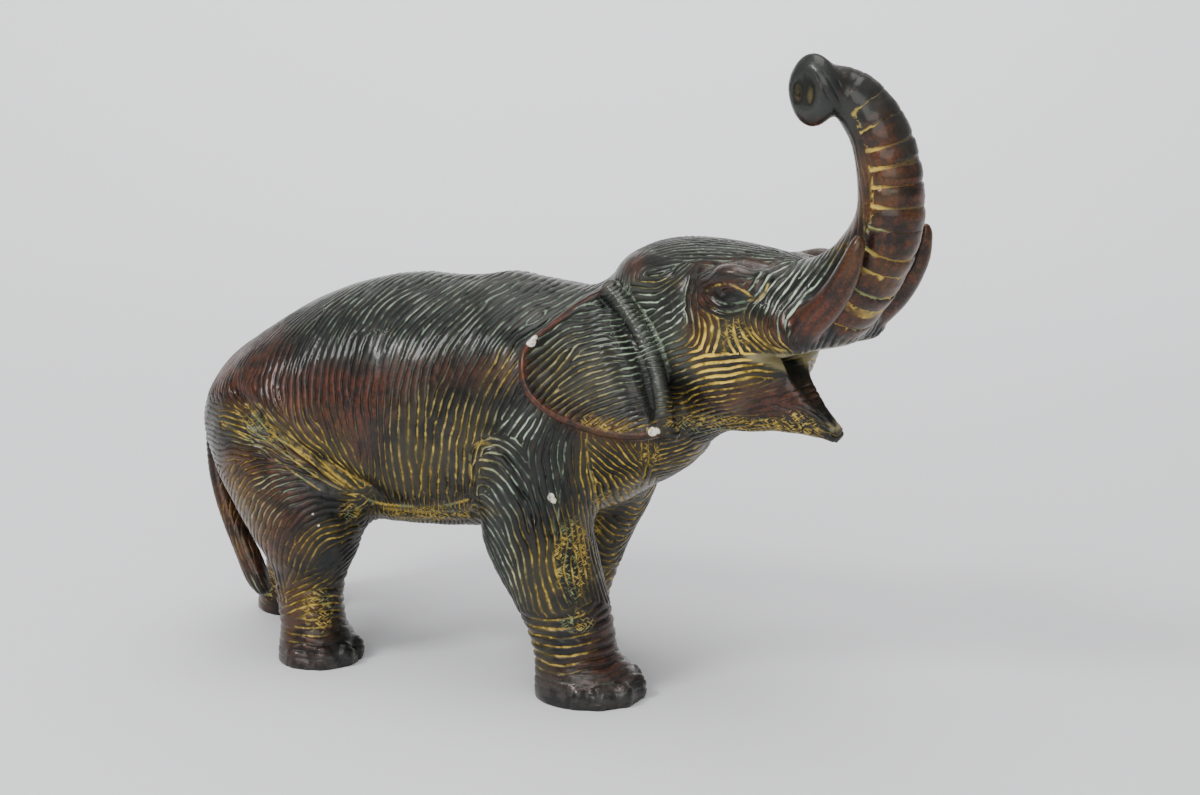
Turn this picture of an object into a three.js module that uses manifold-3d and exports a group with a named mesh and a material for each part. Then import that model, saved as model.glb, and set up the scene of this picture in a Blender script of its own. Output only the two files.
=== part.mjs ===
// A cast figure of a walking elephant that lifts its head and its trunk, in one piece, standing on its own four feet.
// The figure faces +X with its right side towards -Y, and its soles lie on z = 0.
import * as THREE from 'three';
import Module from 'manifold-3d';
import { mergeVertices } from 'three/addons/utils/BufferGeometryUtils.js';

// Driving dimensions, in millimetres.
const height = 259; // soles to the top of the lifted trunk
const earThickness = 4.6; // the ear's flap inside its raised rim
const earRim = 1.8; // what the rim adds to the flap
const trunkRingPitch = 7.2; // spacing of the folds across the front of the trunk
const trunkRingDepth = 0.55; // depth of those folds
const ankleFoldDepth = 0.6; // depth of the folds round the ankles
const latticePitch = 2.2; // spacing of the lattice that the skin is sampled on
const skinTriangles = 9300; // what the sampled skin is thinned to

// The pose is drawn for a figure 259 high, and every drawn number is a share of the height.
const drawn = height / 259;

// The head is turned towards the figure's right about an upright line at its back.
const headTurn = THREE.MathUtils.degToRad(25);
const headPivot = [50 * drawn, 4 * drawn];
const headForward = [Math.cos(headTurn), -Math.sin(headTurn)];
const headLeft = [Math.sin(headTurn), Math.cos(headTurn)];

// Smooth union and smooth cut of two distances, rounded over the width k.
function join(a, b, k) {
  const h = Math.max(k - Math.abs(a - b), 0) / k;
  return Math.min(a, b) - (h * h * k) / 4;
}
const cut = (a, b, k) => -join(-a, b, k);

// A rounded furrow: what it adds to the distance at a place this far from its line.
const furrow = (away, width, depth) => (away > 2.5 * width ? 0 : depth * Math.exp(-((away / width) ** 2)));

// A step from 0 to 1 between two values.
const step = (from, to, v) => THREE.MathUtils.smoothstep(v, from, to);

// A smooth curve through control points of any dimension, sampled a few times in each span.
function through(points, perSpan) {
  const sampled = [];
  const last = points.length - 1;
  for (let i = 0; i < last; i++) {
    const [p0, p1, p2, p3] = [points[Math.max(i - 1, 0)], points[i], points[i + 1], points[Math.min(i + 2, last)]];
    for (let s = 0; s < perSpan; s++) {
      const t = s / perSpan;
      sampled.push(p1.map((_, c) => 0.5 * (2 * p1[c] + (p2[c] - p0[c]) * t
        + (2 * p0[c] - 5 * p1[c] + 4 * p2[c] - p3[c]) * t * t
        + (3 * p1[c] - p0[c] - 3 * p2[c] + p3[c]) * t * t * t)));
    }
  }
  sampled.push(points[last]);
  return sampled;
}

// A limb: a chain of [x, y, z, radius], as a distance; it also tells how far along the chain the nearest place is.
function limb(points, perSpan = 4) {
  const p = through(points.map((q) => q.map((v) => v * drawn)), perSpan);
  const along = [0];
  for (let i = 1; i < p.length; i++) {
    along.push(along[i - 1] + Math.hypot(p[i][0] - p[i - 1][0], p[i][1] - p[i - 1][1], p[i][2] - p[i - 1][2]));
  }
  const low = [0, 1, 2].map((c) => Math.min(...p.map((q) => q[c] - q[3])));
  const high = [0, 1, 2].map((c) => Math.max(...p.map((q) => q[c] + q[3])));
  const nearest = { along: 0, ax: 0, az: 0, tx: 0, tz: 0 };
  const distance = (x, y, z) => {
    const far = Math.max(low[0] - x, x - high[0], low[1] - y, y - high[1], low[2] - z, z - high[2]);
    if (far > 14 * drawn) return far;
    let best = Infinity;
    for (let i = 1; i < p.length; i++) {
      const [a, b] = [p[i - 1], p[i]];
      const [dx, dy, dz] = [b[0] - a[0], b[1] - a[1], b[2] - a[2]];
      const t = Math.min(Math.max(((x - a[0]) * dx + (y - a[1]) * dy + (z - a[2]) * dz)
        / (dx * dx + dy * dy + dz * dz), 0), 1);
      const r = a[3] + t * (b[3] - a[3]);
      const d = Math.hypot(x - a[0] - t * dx, y - a[1] - t * dy, z - a[2] - t * dz) - r;
      if (d < best) {
        best = d;
        nearest.along = along[i - 1] + t * (along[i] - along[i - 1]);
        nearest.ax = a[0] + t * dx;
        nearest.az = a[2] + t * dz;
        nearest.tx = dx / Math.hypot(dx, dz);
        nearest.tz = dz / Math.hypot(dx, dz);
      }
    }
    return best;
  };
  return { distance, nearest };
}

// An ellipsoid: centre, radii and its tilts about Y and then Z, in degrees.
function egg(centre, radii, pitch = 0, yaw = 0) {
  const [cx, cy, cz] = centre.map((v) => v * drawn);
  const r = radii.map((v) => v * drawn);
  const e = new THREE.Matrix4().makeRotationZ(THREE.MathUtils.degToRad(yaw))
    .multiply(new THREE.Matrix4().makeRotationY(THREE.MathUtils.degToRad(pitch))).elements;
  return (x, y, z) => {
    const [dx, dy, dz] = [x - cx, y - cy, z - cz];
    const a = (e[0] * dx + e[1] * dy + e[2] * dz) / r[0];
    const b = (e[4] * dx + e[5] * dy + e[6] * dz) / r[1];
    const c = (e[8] * dx + e[9] * dy + e[10] * dz) / r[2];
    const k0 = Math.hypot(a, b, c);
    const k1 = Math.hypot(a / r[0], b / r[1], c / r[2]);
    return k1 < 1e-9 ? -Math.min(...r) : (k0 * (k0 - 1)) / k1;
  };
}

// A barrel along the first axis: stations of [place, top, bottom, half width], with an oval section.
function barrel(stations) {
  const s = through(stations.map((q) => q.map((v) => v * drawn)), 6);
  const [first, last] = [s[0][0], s[s.length - 1][0]];
  const section = (x, y, z) => {
    let i = 1;
    while (i < s.length - 1 && s[i][0] < x) i++;
    const [a, b] = [s[i - 1], s[i]];
    const t = Math.min(Math.max((x - a[0]) / (b[0] - a[0]), 0), 1);
    const top = a[1] + t * (b[1] - a[1]);
    const bottom = a[2] + t * (b[2] - a[2]);
    const wide = a[3] + t * (b[3] - a[3]);
    const tall = (top - bottom) / 2;
    const p = y / wide;
    const q = (z - (top + bottom) / 2) / tall;
    const k0 = Math.hypot(p, q);
    const k1 = Math.hypot(p / wide, q / tall);
    return k1 < 1e-9 ? -Math.min(wide, tall) : (k0 * (k0 - 1)) / k1;
  };
  return (x, y, z) => {
    const inside = Math.min(Math.max(x, first), last);
    const d = section(inside, y, z);
    const slope = (section(inside + drawn, y, z) - section(inside - drawn, y, z)) / (2 * drawn);
    const across = d / Math.hypot(1, slope);
    return x === inside ? across : Math.hypot(Math.max(across, 0), x - inside) + Math.min(across, 0) * 0.2;
  };
}

// How far a place is from a line drawn on the figure's side, seen square from that side.
function sideLine(points) {
  const p = through(points.map((q) => q.map((v) => v * drawn)), 3);
  const [left, right] = [Math.min(...p.map((q) => q[0])), Math.max(...p.map((q) => q[0]))];
  return (x, z) => {
    if (x < left - 8 * drawn || x > right + 8 * drawn) return Infinity;
    let best = Infinity;
    for (let i = 1; i < p.length; i++) {
      const [dx, dz] = [p[i][0] - p[i - 1][0], p[i][1] - p[i - 1][1]];
      const t = Math.min(Math.max(((x - p[i - 1][0]) * dx + (z - p[i - 1][1]) * dz) / (dx * dx + dz * dz), 0), 1);
      best = Math.min(best, Math.hypot(x - p[i - 1][0] - t * dx, z - p[i - 1][1] - t * dz));
    }
    return best;
  };
}

const torso = barrel([
  [-145, 102, 90, 9], [-143.5, 109, 84, 17], [-139.5, 116, 78, 25], [-133, 123, 72, 31], [-121, 131.5, 66, 37],
  [-103, 143, 60, 43], [-84, 152, 57, 45], [-66, 157.2, 56, 46.5], [-52, 159.3, 55.5, 47], [-39, 159, 56, 47],
  [-26, 159.8, 57, 46.5], [-13, 162, 58.5, 46], [0, 160.5, 61, 46], [20, 158, 66, 45], [40, 155, 74, 41],
  [54, 150, 85, 34], [64, 142, 97, 26], [70, 133, 107, 16], [73, 126, 114, 8],
]);

const bodyMasses = [
  [egg([-101, -24, 92], [32, 23, 38], 12), 12], // right haunch
  [egg([-105, 24, 92], [32, 23, 38], 16), 12], // left haunch
  [egg([4, -27, 110], [26, 20, 38], -8), 14], // right shoulder blade
  [egg([8, 27, 110], [26, 20, 38], 4), 14], // left shoulder blade
  [egg([48, -8, 110], [25, 26, 20], 24), 14], // throat
  [egg([-66, 4, 61], [11, 9, 8]), 6], // swelling under the belly
];

// Each leg: its chain, its foot's place and radii, the way its toes point and its nails stand, in degrees from +X.
const legs = [
  {
    chain: limb([[4, -29, 98, 22], [9, -30, 80, 22.5], [12, -31, 64, 21.5], [19, -31, 46, 18.8], [24.5, -31, 31, 17.3],
      [27.5, -31, 18, 16.8], [29.5, -31, 2, 17.5]]),
    foot: [34.3, -31, 2], size: [20.5, 19.5, 15.5], toes: -22, nails: [-66, -38, -4, 32, 66],
  },
  {
    chain: limb([[22, 27, 98, 23], [17, 28, 76, 22.5], [11.5, 29, 60, 20], [8.5, 29, 47, 17.4], [5.2, 30, 31, 15],
      [2.8, 30, 18, 14], [2, 30, 2, 14.4]]),
    foot: [2, 30, 2], size: [15.6, 16.6, 14.5], toes: 6, nails: [-66, -34, 0, 34, 66],
  },
  {
    chain: limb([[-100, -26, 88, 27], [-93, -29, 68, 25.5], [-90.5, -29, 56, 21.5], [-90.5, -29, 43, 16.2],
      [-91, -29, 29, 14], [-90, -29, 16, 13.8], [-88.5, -29, 2, 14.5]]),
    foot: [-86.5, -29, 1], size: [16.2, 16.6, 14], toes: -30, nails: [-78, -32, 10, 48],
  },
  {
    chain: limb([[-106, 27, 88, 27], [-109, 29, 68, 25], [-114, 31, 54, 20.5], [-121, 32, 41, 16], [-127, 32, 28, 14],
      [-130, 32, 15, 13.8], [-131, 32, 2, 14.5]]),
    foot: [-128.5, 32, 1], size: [17, 17, 14], toes: 6, nails: [-60, -20, 20, 60],
  },
];

// The toenails stand round the front of each foot, a little proud of it.
const nailSize = [3.2, 4.3, 5.6];
const nailInset = 1.6;
const nailHeight = 4.2;
for (const leg of legs) {
  leg.body = egg(leg.foot, leg.size);
  leg.nailBodies = leg.nails.map((nail) => {
    const turn = nail + leg.toes;
    const [x, y] = [Math.cos(THREE.MathUtils.degToRad(turn)), Math.sin(THREE.MathUtils.degToRad(turn))];
    const reach = 1 / Math.hypot(x / leg.size[0], y / leg.size[1]) - nailInset;
    return egg([leg.foot[0] + reach * x, leg.foot[1] + reach * y, nailHeight], nailSize, 0, turn);
  });
}
const ankleFolds = [15.5, 19, 23, 27.5, 33];

// Creases, as lines on the figure's side: [line, width, depth], for the right side and for the left.
const haunchLine = [[-116, 112], [-104, 106], [-94, 100], [-85, 94], [-74, 86.6], [-65, 81], [-57, 76.5], [-54, 72]];
const elbowLine = [[-11.5, 66], [-11, 76], [-10.3, 90], [-9.4, 99], [-4, 104], [3.5, 102.5], [10, 95], [13.5, 84.7], [17, 76]];
const shift = (line, by) => line.map(([x, z]) => [x + by, z]);
const creases = [
  [sideLine(haunchLine), sideLine(shift(haunchLine, -4)), 3.8, 2.8],
  [sideLine(elbowLine), sideLine(shift(elbowLine, 8)), 2, 1.8],
  [sideLine([[27, 106], [25.5, 96], [23.8, 87.7], [23.4, 79.6], [24.6, 70]]), sideLine([[40, 104], [38, 88], [35, 72]]), 1.6, 1],
  [sideLine([[-72, 66], [-54, 66.5], [-43, 66.5], [-30, 67.5], [-12.7, 69]]), sideLine([[-72, 66], [-40, 66], [-6, 69]]), 1.4, 0.9],
];

const tail = limb([[-136, 0, 110, 4.6], [-144.5, -1, 100, 4.4], [-148.5, -2, 86, 3.8], [-147.5, -4, 72, 3.4], [-144, -6, 60, 3.6],
  [-138, -8, 48, 4.2], [-130.5, -9, 34, 5], [-126.5, -10, 26, 5], [-124, -10, 21, 3.6]]);

// The head, in its own frame: forward, left and up from the pivot.
const cranium = barrel([
  [-27, 148, 128, 10], [-19, 161.5, 118, 19], [-9, 172.5, 111, 26], [4, 179, 109, 30.5], [20, 181.5, 110, 32], [38, 182, 119, 31],
  [54, 180.5, 134, 29], [70, 177.5, 146, 25.5], [84, 176.5, 151, 21], [94, 177.5, 155, 16.5],
]);
const jaw = barrel([
  [26, 140, 106, 22], [38, 150, 108, 20], [50, 153, 110, 16.5], [62, 151, 112, 11.8], [74, 138, 113, 7.4], [84, 126, 113.2, 5.2],
  [92.5, 119.5, 112.8, 3.6],
]);
const headMasses = [
  [egg([38, -15, 146], [29, 16, 27], 20), 10], // cheek
  [egg([14.5, -14, 164.4], [19.5, 16.2, 13.4], 4), 6], // back dome
  [limb([[49, -22.6, 170.2, 4.2], [57, -25.4, 172.4, 4.6], [65, -25, 173.1, 4.4], [73, -20, 172.4, 3]]).distance, 5], // brow
  [limb([[70, -17, 162.5, 10.2], [80, -17.5, 159, 9.8], [88, -18.6, 157, 8.8]]).distance, 6], // tusk socket
  [(u, v, w) => jaw(u, v, w), 8],
];
const templeHollow = egg([48, -40, 160], [6, 9, 15], -14);
const templeDish = egg([27, -41.5, 157], [14, 12.5, 11], 20);
const templeLine = sideLine([[52, 181], [44.5, 176.5], [41.5, 170], [41.5, 161], [43, 152]]);
const eyeHollow = egg([65.9, -35.2, 170.6], [8.6, 7, 3.7], -6);
const eye = egg([63.9, -25.4, 168.2], [5.2, 3.2, 3.4], 4);
// The open mouth is a wedge right through the head, and a trough along the lower jaw.
const mouthCorner = [66 * drawn, 144.5 * drawn];
const palateUp = [-0.164, 0.986];
const jawUp = [0.694, 0.72];
const trough = barrel([
  [64, 152, 142, 3], [70, 150, 134, 5.4], [78, 146, 127, 5], [86, 136, 121.6, 3.4], [91.5, 128, 118.4, 1.5],
]);
const trunk = limb([[60, 0, 158, 18], [78, 0, 161, 17], [91.5, 0, 168, 16], [104.8, 0, 180.4, 14.2], [114.4, 0, 197, 12.6],
  [114.7, 0, 215, 11.8], [110.8, -3, 231.8, 10.8], [103.4, -7, 242.4, 9.6], [96.8, -12, 245.4, 8.7], [94.6, -17, 246, 8.4]]);
const trunkTip = egg([94.6, -19.4, 245.4], [9.4, 5.6, 13], 0, 8);
const nostrils = [egg([91.8, -27, 244.2], [1.9, 4.2, 4.2], 0, 8), egg([96.6, -26.4, 244], [1.9, 4.2, 4.4], 0, 8)];
const tipDish = egg([95.6, -28.8, 245.4], [6.6, 5.4, 9.4], 0, 8);
const tusk = limb([[80, -17, 152, 6.2], [88, -19, 156.5, 6.4], [97, -19.5, 163, 6], [105, -19.5, 171, 5.5], [112, -19.5, 181.5, 4.6],
  [115.6, -19, 190.5, 3.2], [116.4, -18.6, 194, 2]]).distance;

// The ear's flap lies in a plane through the top of its root; its outline is [outward, down] in that plane.
const earRoot = new THREE.Vector3(7.4, -34, 165).multiplyScalar(drawn);
const earDown = new THREE.Vector3(30.4, 0, -51.2).normalize();
const earOut = new THREE.Vector3(-0.68, -0.73, 0);
earOut.addScaledVector(earDown, -earOut.dot(earDown)).normalize();
const earFace = new THREE.Vector3().crossVectors(earOut, earDown);
const earOutline = through([[-3, 0], [9, -0.6], [22, 2.6], [34, 7], [40.5, 10.5], [44.5, 17], [46.3, 24.5], [44.8, 32], [40, 39.5], [31, 47.8],
  [21, 54.8], [11, 59.6], [3, 60.8], [-1.5, 57], [-4, 49], [-5, 38], [-5, 28], [-4.5, 15], [-4, 5]].map((q) => q.map((v) => v * drawn)), 2);
const earRib = limb([[8, -34.5, 164, 3.6], [20, -36, 153, 4.2], [28, -37, 143, 4.4], [34, -37, 131, 4.4], [37.5, -36, 119, 4.4], [39, -34, 113, 3.6]]).distance;
// The ear's distance, for a place in the head's frame on the figure's right.
function ear(u, v, w) {
  const [dx, dy, dz] = [u - earRoot.x, v - earRoot.y, w - earRoot.z];
  const s = dx * earOut.x + dy * earOut.y + dz * earOut.z;
  const t = dx * earDown.x + dy * earDown.y + dz * earDown.z;
  const n = dx * earFace.x + dy * earFace.y + dz * earFace.z;
  const far = Math.max(-16 * drawn - s, s - 54 * drawn, -9 * drawn - t, t - 69 * drawn, Math.abs(n) - 16 * drawn);
  if (far > 10 * drawn) return far;
  let best = Infinity;
  let inside = false;
  for (let i = 0, j = earOutline.length - 2; i < earOutline.length - 1; j = i++) {
    const [a, b] = [earOutline[j], earOutline[i]];
    const [ex, ey] = [b[0] - a[0], b[1] - a[1]];
    const h = Math.min(Math.max(((s - a[0]) * ex + (t - a[1]) * ey) / (ex * ex + ey * ey), 0), 1);
    best = Math.min(best, Math.hypot(s - a[0] - h * ex, t - a[1] - h * ey));
    if (a[1] > t !== b[1] > t && s < a[0] + (ex * (t - a[1])) / ey) inside = !inside;
  }
  const rim = inside ? best : -best;
  const reach = THREE.MathUtils.clamp(s / (46 * drawn), 0, 1);
  // The flap is cupped, and it bends out to its rib at the root.
  const middle = drawn * (2.6 * reach * reach - 3.2 * Math.sin(Math.PI * reach)
    + 5 * Math.sin(Math.PI * THREE.MathUtils.clamp(t / (62 * drawn), 0, 1)) * (1 - step(-2, 16, s / drawn)));
  const raised = s > 0 ? earRim * Math.exp(-(((rim / drawn - 1.4) / 1.7) ** 2)) : 0;
  const rootFurrow = n > middle ? furrow(Math.abs(s - 5.5 * drawn), 1.8 * drawn, 1.6 * drawn) * step(3, 12, rim / drawn) : 0;
  const half = (earThickness + raised) / 2 - rootFurrow;
  return -join(rim, half - Math.abs(n - middle), 3 * drawn);
}

function headDistance(u, v, w) {
  const side = -Math.abs(v);
  let d = cranium(u, v, w);
  for (const [mass, k] of headMasses) d = join(d, mass(u, side, w), k * drawn);
  d = join(d, trunk.distance(u, v, w), 11 * drawn);
  const { along, ax, az, tx, tz } = trunk.nearest;
  if (d < 6 * drawn && along > 26 * drawn) {
    const [ox, oz] = [u - ax, w - az];
    const front = (ox * tz - oz * tx) / Math.max(Math.hypot(ox, oz, v), 1e-6);
    const ring = along / trunkRingPitch;
    const away = Math.abs(ring - Math.round(ring)) * trunkRingPitch;
    const shown = step(26, 34, along / drawn) * (1 - step(118, 128, along / drawn));
    d += shown * step(0.2, 0.5, front) * furrow(away, trunkRingPitch / 6, trunkRingDepth);
    d += shown * furrow(Math.abs(front - 0.32) * 10, 1.2, trunkRingDepth);
  }
  d = cut(d, templeHollow(u, side, w), 7 * drawn);
  d = cut(d, templeDish(u, side, w), 6 * drawn);
  if (Math.abs(d) < 8 * drawn && side < -12 * drawn) {
    d += step(150, 162, w / drawn) * (1 - step(170, 180, w / drawn)) * furrow(templeLine(u, w), 3.4 * drawn, 1.2 * drawn);
  }
  d = cut(d, eyeHollow(u, side, w), 5 * drawn);
  d = join(d, eye(u, side, w), 1.2 * drawn);
  const [mu, mw] = [u - mouthCorner[0], w - mouthCorner[1]];
  const gape = -join(-(mu * palateUp[0] + mw * palateUp[1]), mu * jawUp[0] + mw * jawUp[1], 3 * drawn);
  d = cut(d, gape, 2 * drawn);
  d = cut(d, trough(u, v, w), 1.6 * drawn);
  d = join(d, trunkTip(u, v, w), 5 * drawn);
  d = cut(d, tipDish(u, v, w), 3 * drawn);
  for (const nostril of nostrils) d = cut(d, nostril(u, v, w), 1.5 * drawn);
  return join(d, tusk(u, side, w), 1.5 * drawn);
}

function legDistance(leg, x, y, z) {
  let d = join(leg.chain.distance(x, y, z), leg.body(x, y, z), 6 * drawn);
  if (z > 45 * drawn || d > 8 * drawn) return d;
  for (const fold of ankleFolds) d += furrow(Math.abs(z - fold * drawn), 1.3 * drawn, ankleFoldDepth);
  for (const nail of leg.nailBodies) d = join(d, nail(x, y, z), 0.8 * drawn);
  return d;
}

// The distance from a place to the figure's skin, less than zero inside.
function figure(x, y, z) {
  let d = torso(x, y, z);
  for (const [mass, k] of bodyMasses) d = join(d, mass(x, y, z), k * drawn);
  for (const leg of legs) d = join(d, legDistance(leg, x, y, z), 10 * drawn);
  if (Math.abs(d) < 8 * drawn) {
    for (const [right, left, width, depth] of creases) {
      d += step(14 * drawn, 26 * drawn, Math.abs(y)) * furrow((y < 0 ? right : left)(x, z), width * drawn, depth * drawn);
    }
  }
  d = join(d, tail.distance(x, y, z), 2 * drawn);
  const [px, py] = [x - headPivot[0], y - headPivot[1]];
  const u = px * headForward[0] + py * headForward[1];
  const v = px * headLeft[0] + py * headLeft[1];
  d = join(d, headDistance(u, v, z), 12 * drawn);
  const side = -Math.abs(v);
  d = join(d, ear(u, side, z), 2 * drawn);
  return join(d, earRib(u, side, z), 2.4 * drawn);
}

// Marching tetrahedra over a box: a closed skin where the distance is zero.
function skinOf(field, low, high, pitch) {
  const n = [0, 1, 2].map((c) => Math.ceil((high[c] - low[c]) / pitch) + 1);
  const values = new Float32Array(n[0] * n[1] * n[2]);
  const index = (i, j, k) => (k * n[1] + j) * n[0] + i;
  const at = (c, i) => low[c] + i * pitch;
  // Whole blocks that lie far from the skin take one value.
  const block = 4;
  for (let k = 0; k < n[2]; k += block)
    for (let j = 0; j < n[1]; j += block)
      for (let i = 0; i < n[0]; i += block) {
        const middle = field(at(0, i + 1.5), at(1, j + 1.5), at(2, k + 1.5));
        const near = Math.abs(middle) < block * pitch * 1.6;
        for (let c = k; c < Math.min(k + block, n[2]); c++)
          for (let b = j; b < Math.min(j + block, n[1]); b++)
            for (let a = i; a < Math.min(i + block, n[0]); a++)
              values[index(a, b, c)] = near ? field(at(0, a), at(1, b), at(2, c)) || 1e-6 : middle;
      }
  const corner = [0, 1, 2, 3, 4, 5, 6, 7].map((c) => [c & 1, (c >> 1) & 1, (c >> 2) & 1]);
  const tets = [[0, 1, 3, 7], [0, 3, 2, 7], [0, 2, 6, 7], [0, 6, 4, 7], [0, 4, 5, 7], [0, 5, 1, 7]];
  const place = [];
  const faces = [];
  const known = new Map();
  const total = values.length;
  const coordinate = (g, c) => at(c, [g % n[0], Math.floor(g / n[0]) % n[1], Math.floor(g / (n[0] * n[1]))][c]);
  const edge = (a, b) => {
    const key = a < b ? a * total + b : b * total + a;
    let id = known.get(key);
    if (id === undefined) {
      const t = values[a] / (values[a] - values[b]);
      id = place.length / 3;
      for (let c = 0; c < 3; c++) place.push(coordinate(a, c) + t * (coordinate(b, c) - coordinate(a, c)));
      known.set(key, id);
    }
    return id;
  };
  const even = (from, to) => {
    const p = to.map((c) => from.indexOf(c));
    let swaps = 0;
    for (let i = 0; i < 4; i++) for (let j = i + 1; j < 4; j++) swaps += p[i] > p[j];
    return swaps % 2 === 0;
  };
  for (let k = 0; k < n[2] - 1; k++)
    for (let j = 0; j < n[1] - 1; j++)
      for (let i = 0; i < n[0] - 1; i++) {
        const g = corner.map(([a, b, c]) => index(i + a, j + b, k + c));
        let inside = 0;
        for (const q of g) inside += values[q] < 0;
        if (inside === 0 || inside === 8) continue;
        for (const tet of tets) {
          const q = tet.map((c) => g[c]);
          const within = q.filter((c) => values[c] < 0);
          const out = q.filter((c) => values[c] >= 0);
          if (!within.length || !out.length) continue;
          if (within.length === 2) {
            const [[a, b], [c, d]] = [within, out];
            const quad = [edge(a, c), edge(b, c), edge(b, d), edge(a, d)];
            if (even(q, [a, b, c, d])) quad.reverse();
            faces.push([quad[0], quad[1], quad[2]], [quad[0], quad[2], quad[3]]);
          } else {
            const lone = within.length === 1 ? within[0] : out[0];
            const others = within.length === 1 ? out : within;
            const face = others.map((c) => edge(lone, c));
            faces.push(even(q, [lone, ...others]) === (within.length === 1) ? face : face.reverse());
          }
        }
      }
  return { place, faces };
}

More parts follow.
